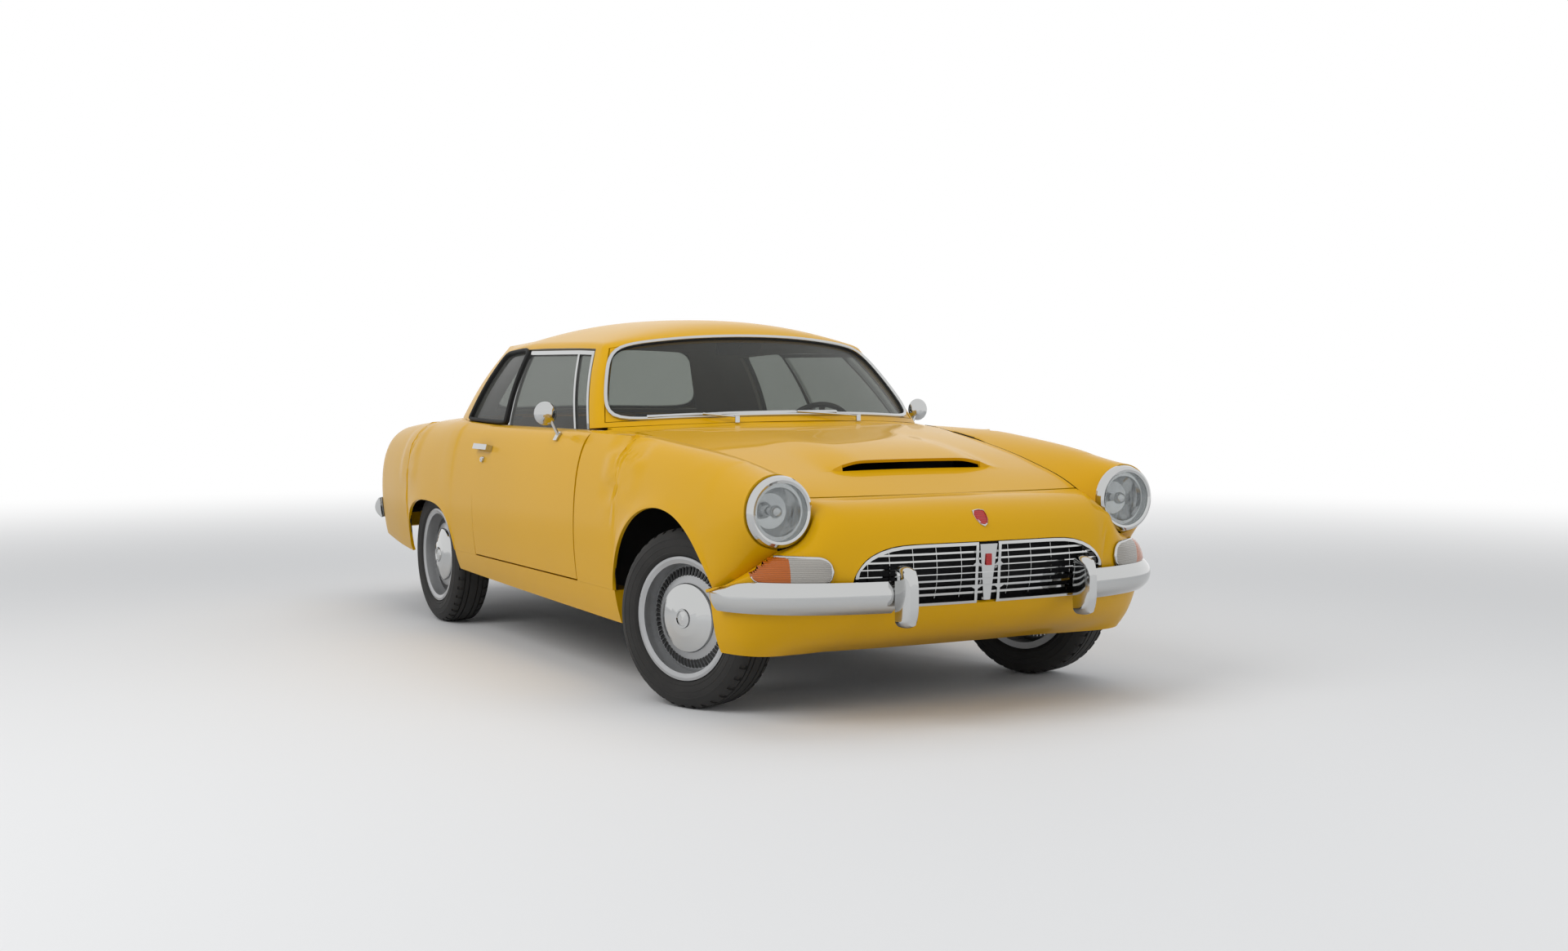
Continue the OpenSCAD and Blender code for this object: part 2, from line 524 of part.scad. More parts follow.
roof_faces = [for (i = [0:last_along - 1]) for (j = [0:last_across - 1])
    each quad_pair(roof_top[i][j], roof_top[i + 1][j], roof_top[i + 1][j + 1], roof_top[i][j + 1])];
module roof_panel() {
    faces = concat(ring_faces, roof_faces);
    color("goldenrod")
        polyhedron([for (f = faces) each f], [for (k = [0:len(faces) - 1]) [3 * k, 3 * k + 1, 3 * k + 2]]);
}

// Scuttle under the screen, deck under the rear window
wiper_s = 0.38;
sheet_ss = [-1, -0.8, -0.6, -0.5, -wiper_s, 0, wiper_s, 0.5, 0.6, 0.8, 1];
// Ahead of the door the scuttle meets the wing, beside it it keeps out of the door's way
function by_wing(x) = x > door_front_x + shut_gap;
function scuttle_edge(x) = by_wing(x) ? inner_y(x) - plate_gap : door_in_y - door_sweep - shut_gap;
function scuttle_point(s, w) =
    let (yf = s * inner_y(bonnet_rear_x - bonnet_bow_rear), xf = bonnet_rear(yf) - shut_gap,
         x1 = mix(bonnet_rear_x - bonnet_bow_rear, side_base(0)[0], w), y = s * scuttle_edge(x1),
         b = front_base(by_wing(x1) ? s : -y / side_base(0)[1]))
    [mix(xf, b[0] + plate_gap, w), y, mix(bonnet_z(xf, yf), b[2] - foot_gap, w)];
scuttle_grid = [for (w = [1, 0.8, 0.6, 0.4, 0.2, 0]) [for (s = sheet_ss) scuttle_point(s, w)]];
// The quarter's inner edge leans in under the deck by this much, at the pillar and at the lid
quarter_lean = [17, 5.2];
function deck_point(s, w) =
    let (b = rear_base(s), x1 = mix(c_rear_x, deck_x, w),
         y = s * (inner_y(x1) - mix(quarter_lean[0], quarter_lean[1], w)))
    [mix(b[0] - plate_gap, lid_front(y) + shut_gap, w), y, mix(b[2] - foot_gap, lid_z(deck_x, y), w)];
deck_grid = [for (w = [1, 0.66, 0.33, 0]) [for (s = sheet_ss) deck_point(s, w)]];
module decks() color("goldenrod") {
    shell(scuttle_grid, skin);
    shell(deck_grid, skin);
}

// Glass, let into the walls
glass_t = 5;
glass_in = 9;
hair = 0.001;
function toward(p, d) = p + d / pillar_t * (inward(p) - p);
module pane(grid, a = glass_in, b = glass_in + glass_t, keep = everywhere)
    panel([for (c = grid) [for (p = c) toward(p, a)]], [for (c = grid) [for (p = c) toward(p, b)]], keep);
function within(list, a, b) = concat([a], [for (v = list) if (v > min(a, b) && v < max(a, b)) v], [b]);
function backward(list) = [for (k = [len(list) - 1:-1:0]) list[k]];
screen_ts = within(levels, glass_low + hair, glass_high - hair);
module windscreen() color("lightgrey")
    pane([for (s = within(across, hair - pillar_a, pillar_a - hair)) [for (t = screen_ts) front_wall(s, t)]]);
module rear_window() color("lightgrey")
    pane([for (s = backward(within(across, hair - pillar_c, pillar_c - hair)))
        [for (t = screen_ts) rear_wall(s, t)]]);
b_gap = 0.03;
pane_foot = 0.02;
module quarter_windows() color("lightgrey") both_sides()
    pane([for (g = backward(within(along, 2 + b_gap, side_c - hair)))
        [for (t = within(levels, pane_foot, glass_high - hair)) side_wall(g, t)]]);

// Door window: a bright frame with a vent divider, and two panes in it
frame_g = 0.1;
frame_t = 0.05;
frame_low = side_a + 0.05;
frame_end = 2 - 0.014;
frame_high = glass_high - 0.024;
divider = 1;
// Share of the wall at which a pane of depth d clears the door's top
function door_foot(g, d) =
    let (b = side_base(g), h = side_top(g)[2] - b[2], drop = b[2] - toward(b, d)[2])
    (side(S_CROWN, b[0]) + seat + drop - b[2]) / h;
frame_depth = 18;
frame_gs = [frame_low, frame_low + frame_g, divider - 0.05, divider + 0.015, 1.33, 1.66,
    frame_end - 0.03, frame_end];
function frame_ts(g) = [door_foot(g, frame_depth), 0.2, 0.4, 0.65, frame_high - frame_t, frame_high];
frame_grid = [for (g = backward(frame_gs)) [for (t = frame_ts(g)) side_wall(g, t)]];
module window_frame() pane(frame_grid, 3, frame_depth, function (i, j) j == 4 || i == 0 || i == 4 || i == 6);
function window_pane(a, b) = [for (g = backward(within(frame_gs, a + hair, b - hair)))
    [for (t = [door_foot(g, glass_in + glass_t), 0.2, 0.4, 0.65, frame_high - frame_t - hair])
        side_wall(g, t)]];
module door_glazing() {
    pane(window_pane(frame_gs[1], frame_gs[2]));
    pane(window_pane(frame_gs[3], frame_gs[6]));
}
module door_glass_right() color("lightgrey") door_glazing();
module door_glass_left() color("lightgrey") mirror([0, 1, 0]) door_glazing();

// Wheels. k counts them: 0 front left, 1 front right, 2 rear left, 3 rear right
kingpin_y = track / 2 - 80;
function hand(k) = k % 2 == 0 ? 1 : -1;
function is_front(k) = k < 2;
// Places a child drawn round z, with z pointing outboard
module at_hub(k)
    translate([is_front(k) ? axle_f : axle_r, hand(k) * kingpin_y, wheel_z])
    rotate([0, 0, is_front(k) ? steer_angle : 0])
    translate([0, hand(k) * (track / 2 - kingpin_y), 0])
    rotate([-90 * hand(k), 0, 0]) children();

// Rim and tyre profiles: radius, distance outboard of the wheel's centre plane
seat_r = 188;
seat_gap = 0.2;
bead = 63;
flange_r = rim_d / 2;
stub_r = 20;
run_gap = 0.05;
hub_face = 40;
hub_back = -6;
barrel_r = seat_r - 5;
web_r = 172;
cap_r = 115;
hub_r = 46;
slot_count = 64;
slot_w = 5.5;
slot_rs = [141, 169];
module wheel_disc() rotate_extrude($fn = 96) polygon([
    [stub_r + run_gap, hub_back], [hub_r, hub_back], [hub_r, hub_face - 12], [cap_r + 6, hub_face - 14],
    [web_r, 12], [barrel_r, 5], [barrel_r, -bead - 9], [flange_r, -bead - 9], [flange_r, -bead - 4],
    [seat_r, -bead], [seat_r, bead], [flange_r, bead + 4], [flange_r, bead + 9], [flange_r - 9, bead + 10],
    [barrel_r, bead + 4], [barrel_r, 16], [web_r, 23], [cap_r + 6, hub_face - 2], [cap_r, hub_face],
    [stub_r + run_gap, hub_face]]);
module wheel(k) color("gray") at_hub(k) difference() {
    wheel_disc();
    for (i = [1:slot_count]) rotate([0, 0, i * 360 / slot_count])
        translate([slot_rs[0], -slot_w / 2, 0]) cube([slot_rs[1] - slot_rs[0], slot_w, hub_face]);
}
tyre_r = tyre_d / 2;
wall_y = tyre_w / 2;
// Half of a tyre's section, from the bead over the side wall to the tread
tyre_half = [
    [seat_r + seat_gap, bead - 1.5], [flange_r + 0.6, bead + 3], [flange_r + 9, wall_y - 6],
    [flange_r + 28, wall_y - 0.6], [flange_r + 42, wall_y], [tyre_r - 34, wall_y - 2],
    [tyre_r - 17, wall_y - 9], [tyre_r - 6, wall_y - 19], [tyre_r - 1.2, wall_y - 30], [tyre_r, wall_y - 44]];
module tyre(k) color("dimgray") at_hub(k) rotate_extrude($fn = 96)
    polygon(concat(tyre_half, [for (p = backward(tyre_half)) [p[0], -p[1]]]));
module hubcap(k) color("silver") at_hub(k) rotate_extrude($fn = 64) translate([0, hub_face]) polygon([
    [0, seat], [cap_r - 2, seat], [cap_r + 1, 4], [cap_r - 2, 9], [cap_r - 14, 13],
    [60, 24], [33, 28], [31, 33], [26, 33], [24, 29], [0, 31]]);

// Stub axle with its flange, from the kingpin or the axle tube out to the wheel
stub_from = kingpin_y - track / 2;
hub_flange = 12;
module stub_axle() {
    translate([0, 0, stub_from]) cylinder(r = stub_r, h = hub_face - 2 - stub_from, $fn = 48);
    translate([0, 0, hub_back - seat - hub_flange]) cylinder(r = 62, h = hub_flange, $fn = 48);
}
// Kingpin between two eyes; the upright rests on the lower one
pin_r = 14;
eye_z = 95;
eye_h = 20;
eye_r = 30;
// Brake disc's distance from the kingpin, clear of the eyes
disc_off = eye_r + 10;
arm_l = 130;
upright_h = 2 * (eye_z - seat) - eye_h;
module knuckle(k) color("dimgray") {
    at_hub(k) {
        stub_axle();
        translate([0, 0, stub_from + disc_off]) cylinder(r = 128, h = 8, $fn = 64);
    }
    translate([axle_f, hand(k) * kingpin_y, wheel_z]) rotate([0, 0, steer_angle]) {
        translate([0, 0, -eye_z - eye_h / 2 - 4]) cylinder(r = pin_r, h = 2 * eye_z + eye_h + 8, $fn = 32);
        translate([0, 0, -upright_h / 2]) cylinder(r = eye_r, h = upright_h, $fn = 32);
        translate([-arm_l, -9, -20]) cube([arm_l, 18, 40]);
    }
}

// Chassis: floor with its tunnel
floor_z = 270;
sheet = 15;
tunnel_w = 98;
tunnel_z = 400;
bulkhead_x = base_x(0.247);
step_x = door_rear_x - 120;
flitch_t = 12;
function span_y(w) = [-w, w];
module slab(x, y, z) translate([x[0], y[0], z[0]]) cube([x[1] - x[0], y[1] - y[0], z[1] - z[0]]);
module tunnel_space() slab([step_x - 1, bulkhead_x + 2 * sheet], span_y(tunnel_w), [floor_z - 5, tunnel_z]);
floor_run = [step_x + sheet + seat, bulkhead_x - seat];
module floor_pan() color("dimgray") difference() {
    union() {
        slab(floor_run, span_y(sill_in_y - seat), [floor_z, floor_z + sheet]);
        slab(floor_run, span_y(tunnel_w + flitch_t), [floor_z, tunnel_z + flitch_t]);
    }
    tunnel_space();
}
// Bulkhead with the posts that carry the doors
post_y = door_in_y - 18;
post_w = 63;
module bulkhead() color("dimgray") difference() {
    union() {
        slab([bulkhead_x, bulkhead_x + sheet], span_y(post_y + 1), [floor_z, waist_z - 35]);
        slab([bulkhead_x, bulkhead_x + sheet], span_y(sill_in_y - seat), [floor_z, sill_top_z]);
        both_sides() slab([door_front_x + shut_gap, bulkhead_x + sheet], [post_y, post_y + post_w],
            [sill_top_z - sheet, waist_z - 45]);
    }
    tunnel_space();
}
// Front rails, with inner wings, radiator panel and tow eyes
rail_y = 330;
rail_w = 70;
rail_z = 300;
rail_h = 100;
rails_x = bulkhead_x + sheet + seat;
radiator_x = nose_x - 252;
radiator_top_z = 640;
shelf_z = 700;
flitch_y = rail_y + rail_w;
tow_x = nose_x - 377;
tow_y = flitch_y + flitch_t + 30;
tow_r = 15;
tow_edge = 30;
module front_rails() color("dimgray") difference() {
    union() {
        slab([radiator_x, radiator_x + sheet], span_y(rail_y + 10), [rail_z + 30, radiator_top_z]);
        both_sides() {
            slab([rails_x, radiator_x + 100], [rail_y, flitch_y], [rail_z, rail_z + rail_h]);
            slab([rails_x, radiator_x - 60], [flitch_y, flitch_y + flitch_t], [rail_z, shelf_z + flitch_t]);
            slab([rails_x, axle_f + 300], [flitch_y, half_w - 295], [shelf_z, shelf_z + flitch_t]);
            slab([tow_x - tow_edge, tow_x + tow_edge], [flitch_y, tow_y + tow_edge],
                [rail_z, rail_z + flitch_t]);
        }
    }
    both_sides() translate([tow_x, tow_y, rail_z - 1]) cylinder(r = tow_r, h = flitch_t + 2, $fn = 48);
}
// Boot floor, with the step under the rear seat, wheel housings and rear rails
boot_z = 470;
tub_y = track / 2 - tyre_w / 2 - 67.5;
tub_top_z = 640;
tub_run = [arch_start(ARCH_R), arch_end(ARCH_R)];
rear_rail_y = tub_y - 120;
rear_rail_w = 60;
seat_back_x = axle_r + 70;
module boot_floor() color("dimgray") difference() {
    union() {
        slab([step_x, step_x + sheet], span_y(sill_in_y - 40), [floor_z, boot_z + sheet]);
        slab([arch_end(ARCH_R), step_x + sheet], span_y(sill_in_y - 40), [boot_z, boot_z + sheet]);
        slab([lid_rear_x + 40, step_x], span_y(tub_y + flitch_t), [boot_z, boot_z + sheet]);
        slab([tail_x + 30, arch_start(ARCH_R)], span_y(half_w - 105), [boot_z, boot_z + sheet]);
        slab([seat_back_x, seat_back_x + sheet], span_y(tub_y), [boot_z, waist_z - 30]);
        both_sides() {
            slab(tub_run, [tub_y, tub_y + flitch_t], [boot_z, tub_top_z + flitch_t]);
            slab(tub_run, [tub_y, half_w - 70], [tub_top_z, tub_top_z + flitch_t]);
            slab([lid_rear_x + 60, step_x + sheet], [rear_rail_y, rear_rail_y + rear_rail_w],
                [tunnel_z, boot_z]);
        }
    }
    tunnel_space();
}
// Engine with its mounts, gearbox and propeller shaft
shaft_z = wheel_z + 10;
engine_x = base_x(0.142);
engine_y = 200;
gearbox_x = base_x(0.34);
diff_nose = axle_r + 200;
module lengthwise(x0, x1, y, z, r, n = 48)
    translate([x0, y, z]) rotate([0, 90, 0]) cylinder(r = r, h = x1 - x0, $fn = n);
module engine() color("darkslategray") {
    slab([engine_x, axle_f + 200], span_y(engine_y), [shaft_z, 680]);
    both_sides() slab([axle_f - 100, axle_f - 40], [engine_y - 1, rail_y - seat], [rail_z + 30, rail_z + 80]);
    lengthwise(gearbox_x, engine_x + 1, 0, shaft_z, 85);
    lengthwise(diff_nose + seat, gearbox_x + 1, 0, shaft_z, 30);
}
tube_r = 38;
module rear_axle() color("dimgray") {
    translate([axle_r, 0, wheel_z]) rotate([-90, 0, 0]) {
        translate([0, 0, -kingpin_y - 5]) cylinder(r = tube_r, h = 2 * kingpin_y + 10, $fn = 48);
        translate([0, 0, -80]) cylinder(r = 115, h = 160, $fn = 64);
    }
    lengthwise(axle_r, diff_nose, 0, shaft_z, 48);
    for (k = [2, 3]) at_hub(k) stub_axle();
}
leaf_t = 24;
leaf_w = 50;
leaf_run = 500;
function leaf_top(x) =
    let (low = wheel_z - tube_r - seat, high = tunnel_z - seat) low + (high - low) * pow(x / leaf_run, 2);
module leaf_springs() color("dimgray") both_sides()
    translate([axle_r, rear_rail_y + (rear_rail_w + leaf_w) / 2, 0]) rotate([90, 0, 0]) linear_extrude(leaf_w)
    polygon(concat([for (x = steps(-leaf_run, leaf_run, 16)) [x, leaf_top(x)]],
                   [for (x = steps(leaf_run, -leaf_run, 16)) [x, leaf_top(x) - leaf_t]]));
eye_arm = kingpin_y - flitch_y - flitch_t - seat;
module eye(z) translate([0, 0, z]) difference() {
    union() {
        translate([0, 0, -eye_h / 2]) cylinder(r = eye_r, h = eye_h, $fn = 48);
        translate([-18, -eye_arm, -eye_h / 2]) cube([36, eye_arm, eye_h]);
    }
    translate([0, 0, -eye_h]) cylinder(r = pin_r + run_gap, h = 2 * eye_h, $fn = 48);
}
module front_suspension() color("dimgray") {
    slab([axle_f - 45, axle_f + 45], span_y(flitch_y + flitch_t + 1),
        [wheel_z - eye_z - eye_h / 2, rail_z - seat]);
    both_sides() translate([axle_f, kingpin_y, wheel_z]) {
        eye(-eye_z);
        eye(eye_z);
    }
}
pipe_y = -160;
pipe_z = 205;
pipe_r = 24;
down_pipe_x = engine_x + 60;
silencer_x = tail_x - 50;
module exhaust() color("gray") {
    lengthwise(30 - half_l, down_pipe_x, pipe_y, pipe_z, pipe_r, 32);
    lengthwise(silencer_x, silencer_x + 420, pipe_y, pipe_z + 45, 70);
    translate([down_pipe_x, pipe_y, pipe_z]) cylinder(r = pipe_r, h = shaft_z - seat - pipe_z, $fn = 32);
    slab([silencer_x + 180, silencer_x + 200], [pipe_y - 6, pipe_y + 6], [pipe_z + 100, boot_z - seat]);
}

// Hinges: leaves on the front door posts, plates under the bonnet's rear edge and the lid's front edge
leaf_zs = [440, 720];
leaf_h = 70;
leaf_y = door_in_y + 12;
plate_ss = [0.5, 0.6];
plate_t = 8;
module hinge_plate(grid) panel(sunk(grid, skin + plate_gap), sunk(grid, skin + plate_gap + plate_t));
module hinges() color("dimgray") both_sides() {
    for (z = leaf_zs)
        slab([door_front_x + seat, door_front_x + shut_gap - seat], [leaf_y, leaf_y + 28], [z, z + leaf_h]);
    hinge_plate(concat(
        [for (w = [0.2, 0]) [for (s = plate_ss) scuttle_point(s, w)]],
        [for (u = [0, 1 / 9]) [for (s = plate_ss) bonnet_point([u, 0], s, true)]]));
    hinge_plate(concat(
        [for (u = [0.88, 1]) [for (s = plate_ss) lid_point(u, s)]],
        [for (w = [1, 0.66]) [for (s = plate_ss) deck_point(s, w)]]));
}

// Lamps
lens_r = 92;
rim_r = lamp_r - 8;
bowl_r = lens_r - 10;
module at_lamp() both_sides() translate([lamp_x, lamp_y, lamp_z]) rotate([0, 90, 0]) children();
// Rim and reflector bowl in one revolve: radius, distance ahead of the wing's mouth
module headlamp_rims() color("silver") at_lamp() rotate_extrude($fn = 64) polygon([
    [lens_r, 26], [lens_r + 8, 30], [lens_r + 17, 24], [rim_r, 9], [rim_r, seat], [bowl_r, seat],
    [bowl_r, -14], [60, -52], [0, -62], [0, -57], [56, -48],
    [bowl_r - 5, -12], [bowl_r - 5, 9], [lens_r, 9]]);
module headlamp_lenses() color("lightgrey") at_lamp() rotate_extrude($fn = 64) polygon([
    [0, 9 + seat], [lens_r - seat, 9 + seat], [lens_r - seat, 22], [75, 32], [45, 40], [0, 44]]);
function raised(g, h) =
    [for (i = [0:len(g) - 1]) [for (j = [0:len(g[0]) - 1]) g[i][j] + h[j] * normal_at(g, i, j)]];
function flat(n, v) = [for (k = [1:n]) v];
nose_patch = function (qs, zs) [for (q = qs) [for (z = zs) nose_point(q, min(z, nose_top(q)[2] - 10))]];
// Point on the nose's facets: row q, level k
function nose_facet(q, k) =
    let (a = floor(k)) mix(nose_point(q, nose_level(q, a)), nose_point(q, nose_level(q, a + 1)), k - a);
// Indicator: row on the nose, lower and upper level
INDICATOR = [[3.33, 6, 8], [3.66, 6.1, 8.6], [4, 6.3, 9.6], [4.6, 6.7, 10.4], [5.2, 7.3, 10.4]];
lamp_gap = 2.1;
lamp_top = 15;
module front_lamps() color("orange") both_sides()
    layer([for (r = INDICATOR) [for (k = steps(r[1], r[2], 8)) nose_facet(r[0], k)]], lamp_gap, lamp_top);
function tail_v(q, z) =
    z < tail(T_MID, q) ? (z - tail(T_LOW, q)) / (tail(T_MID, q) - tail(T_LOW, q)) :
    1 + asin(pow((z - tail(T_MID, q)) / (tail(T_CROWN, q) - tail(T_MID, q)), 1 / shoulder)) / 90;
function tail_patch(qs, zs) = [for (q = qs) [for (z = zs) tail_point(q, tail_v(q, z))]];
module tail_lamps() color("red") both_sides()
    layer(tail_patch([2.6, 2.2, 1.8], [540, 590, 640, 690]), plate_gap, 22);

// Grille: two framed halves in the mouth, level and upright bars, and a tapered plate between the halves
bar_count = 7;
bar_h = 7;
upright_w = 0.009;
frame_edge = 9;
frame_deep = 11;
bar_deep = 24;
upright_deep = 8;
plate_sunk = 1.5;
frame_gap = 3.3;
frame_end_q = grille_end - 0.05;
frame_in_q = grille_end - 0.115;
plate_qs = [0.05, 0.13];
bar_qs = [for (q = nose_half) if (q > 0.2 && q < frame_in_q) q];
half_qs = concat([0.15, 0.19], bar_qs, [frame_in_q, frame_end_q]);
frame_qs = concat([for (q = backward(half_qs)) -q], half_qs);
half_count = len(half_qs);
MOUTH = [for (q = nose_half) if (q <= grille_end) [q, mouth_top(q)]];
function mouth_edge(q) = lookup(abs(q), MOUTH) - frame_gap;
function nose_at(q, z) = mirrored(nose_point(abs(q), z), q < 0 ? -1 : 1);
function frame_zs(q) =
    [grille_low + seam + 1, grille_low + frame_edge, mouth_edge(q) - frame_edge, mouth_edge(q)];
// Row at which the frame's upper band passes height z
function bar_end(z) =
    let (u = pow((grille_top - z - frame_edge) / fall, 1 / fall_power))
    min(frame_in_q, mix(fall_from, grille_end, u));
on_frame = function (i, j)
    j != 1 || len([for (k = [0, half_count - 2, half_count, 2 * half_count - 2]) if (i == k) k]) > 0;
module grille() color("silver") {
    layer([for (q = frame_qs) [for (z = frame_zs(q)) nose_at(q, z)]], -frame_deep, 3,
        function (i, j) i != half_count - 1 && on_frame(i, j));
    for (k = [1:bar_count])
        let (z = mix(grille_low + frame_edge, grille_top - frame_edge, k / (bar_count + 1)), e = bar_end(z),
             half = concat([for (q = bar_qs) if (q < e - 0.05) q], [e]),
             qs = concat([for (q = backward(half)) -q], [0], half))
        layer([for (q = qs) [for (s = [-0.5, 0.5]) nose_at(q, z + s * bar_h)]], -bar_deep, 1 - frame_deep);
    for (q = [for (q = bar_qs) if (q < 1.9) each [-q, q]])
        let (zs = steps(grille_low + frame_edge, mouth_edge(q) - frame_edge, 4))
        layer([for (s = [-1, 1]) [for (z = zs) nose_at(q + s * upright_w, z)]],
            -bar_deep - upright_deep, -bar_deep - seat);
    layer([for (s = [-1, 1]) [for (u = [0, 1])
        nose_at(s * plate_qs[u], mix(grille_low + frame_edge, grille_top - frame_edge, u))]],
        plate_sunk - frame_deep, 2);
}

// Bumpers: two short ones with overriders in front, one behind
bumper_z = 420;
bumper_h = 95;
bumper_back = 16;
bumper_bulge = [4, 20, 27, 27, 20, 4];
bumper_qs = [for (q = nose_half) if (q > 1.4 && q < 7) q];
bumper_zs = steps(bumper_z - bumper_h / 2, bumper_z + bumper_h / 2, 5);
over_y = half_w - 498;
over_r = 27;
over_half = 70;
module bumper_bar(grid) panel(
    raised(grid, [for (b = bumper_bulge) bumper_back + b]),
    raised(grid, flat(len(bumper_bulge), bumper_back)));
module overrider(x, tip) hull() for (e = [-1, 1]) translate([x, 0, e * over_half]) rotate([0, 90, 0]) {
    cylinder(r = over_r, h = (tip - x) * 0.5, $fn = 20);
    cylinder(r = over_r - 10, h = (tip - x) * 0.86, $fn = 20);
    translate([e * over_half * 0.45, 0, 0]) cylinder(r = over_r - 12, h = tip - x, $fn = 12);
}
module front_bumpers() color("silver") both_sides() {
    bumper_bar(nose_patch(bumper_qs, bumper_zs));
    for (qs = [[1.44, 1.8], [4.6, 5.2]])
        layer([for (q = qs) [for (k = [4.6, 5, 5.6]) nose_facet(q, k)]], plate_gap, bumper_back - seat);
    translate([0, over_y, bumper_z]) overrider(nose_x + 16, half_l);
}
tail_qs = [5, 4.5, 4, 3.5, 3, 2.6, 2.2, 1.8, 1.4, 1, 0.66];
rear_bumper_z = 455;
rear_zs = [for (z = bumper_zs) z - bumper_z + rear_bumper_z];
rear_half = tail_patch(tail_qs, rear_zs);
module rear_bumper() color("silver") {
    bumper_bar(concat(flipped(rear_half), rear_half));
    both_sides() {
        layer(tail_patch([3.5, 3], [440, 470]), seat, bumper_back - seat);
        translate([0, over_y, rear_bumper_z]) mirror([1, 0, 0]) overrider(half_l - 34, half_l);
    }
}

// Cabin
module pad(x, y, z, r, lean = 0) hull() for (a = x, b = y, c = z)
    translate([a + (c == z[1] ? lean : 0), b, c]) sphere(r = r, $fn = 10);
pad_r = 35;
seat_x = mix(step_x, bulkhead_x, 0.33);
seat_ys = [tunnel_w + 67, door_in_y - 100];
frame_ys = [seat_ys[0] + 20, seat_ys[1] - 30];
cushion_z = 355;
back_lean = -130;
module front_seats() color("saddlebrown") both_sides() {
    slab([seat_x, seat_x + 390], frame_ys, [floor_z + sheet + seat, cushion_z - 15]);
    pad([seat_x - 40, seat_x + 420], seat_ys, [cushion_z, cushion_z + 75], pad_r);
    slab([seat_x - 90, seat_x - 40], frame_ys, [cushion_z - 10, cushion_z + 165]);
    pad([seat_x - 125, seat_x - 55], seat_ys, [cushion_z + 125, cushion_z + 505], pad_r, back_lean);
}
bench_y = tub_y - 60;
bench_r = 32;
module rear_seat() color("saddlebrown") {
    slab([seat_back_x + 20, step_x - 60], span_y(bench_y), [boot_z + sheet + seat, boot_z + 60]);
    pad([seat_back_x + 100, step_x - 70], span_y(bench_y), [boot_z + 50, boot_z + 110], bench_r);
    pad([seat_back_x + 50 + seat, seat_back_x + 80], span_y(bench_y), [boot_z + 150, waist_z - 70], bench_r);
}
dash_y = door_in_y - 50;
dash_z = 690;
wheel_y = half_w - 480;
column_tilt = 22;
wheel_at = [bulkhead_x - 440, wheel_y, 800];
boss_r = 34;
boss_h = 46;
shaft_r = 10;
column_l = 300;
rim_ring_r = 190;
module at_column() translate(wheel_at) rotate([0, -90 + column_tilt, 0]) children();
// Section of the dash: distance behind the bulkhead, height above its lower edge
DASH = [[seat, 0], [seat, 160], [90, 162], [190, 152], [225, 120], [215, 40], [150, 0]];
module dashboard() color("saddlebrown") {
    translate([0, dash_y, 0]) rotate([90, 0, 0]) linear_extrude(2 * dash_y)
        polygon([for (p = DASH) [bulkhead_x - p[0], dash_z + p[1]]]);
    at_column() {
        translate([0, 0, -column_l]) cylinder(r = 26, h = column_l - boss_h / 2 - seat, $fn = 32);
        translate([0, 0, -boss_h]) cylinder(r = shaft_r, h = boss_h + 10, $fn = 32);
    }
}
module steering_wheel() color("black") at_column() {
    translate([0, 0, 20]) rotate_extrude($fn = 64) translate([rim_ring_r, 0]) circle(r = 11, $fn = 16);
    difference() {
        union() {
            translate([0, 0, -boss_h / 2]) cylinder(r = boss_r, h = boss_h, $fn = 48);
            for (a = [0, 120, 240]) rotate([0, 0, a]) translate([25, -11, 8]) cube([rim_ring_r - 30, 22, 9]);
        }
        translate([0, 0, -boss_h]) cylinder(r = shaft_r + run_gap, h = boss_h + 11, $fn = 48);
    }
}
module rod(a, b, r) let (v = b - a) translate(a) rotate([0, acos(v[2] / norm(v)), atan2(v[1], v[0])])
    cylinder(r = r, h = norm(v), $fn = 16);
function header(s, t) = mix(front_wall(0, t), front_wall(sign(s) * 0.26, t), abs(s));
mirror_at = [screen_top_x - 45, 0, height - 125];
module interior_mirror() color("black") {
    pane([for (s = [-0.15, 0, 0.15]) [for (t = [0.95, 0.985]) header(s, t)]], pillar_t + seat, pillar_t + 9);
    rod(toward(header(0, 0.965), pillar_t + 8), mirror_at, 6);
    translate(mirror_at) rotate([0, 12, 0]) translate([-16, -95, -28]) cube([16, 190, 56]);
}

// Wipers: pivot on the scuttle, arm, blade on the glass. Each row: pivot s, blade's s from and to
WIPERS = [[-wiper_s, [-0.78, -0.52, -0.26]], [wiper_s, [-0.26, 0, 0.26]]];
blade_u = [0.10, 0.17];
function screen_at(s, u) = mix(front_wall(s, glass_low), front_wall(s, levels[2]), u);
module wipers() color("silver") for (w = WIPERS) {
    foot = scuttle_point(w[0], 0.6) + [0, 0, 4];
    mid = toward(screen_at(w[1][1], 0.13), -13);
    translate(foot) cylinder(r = 10, h = 24, $fn = 24);
    rod(foot + [0, 0, 20], mid, 4);
    pane([for (s = w[1]) [for (u = blade_u) screen_at(s, u)]], -10, glass_in - seat);
}

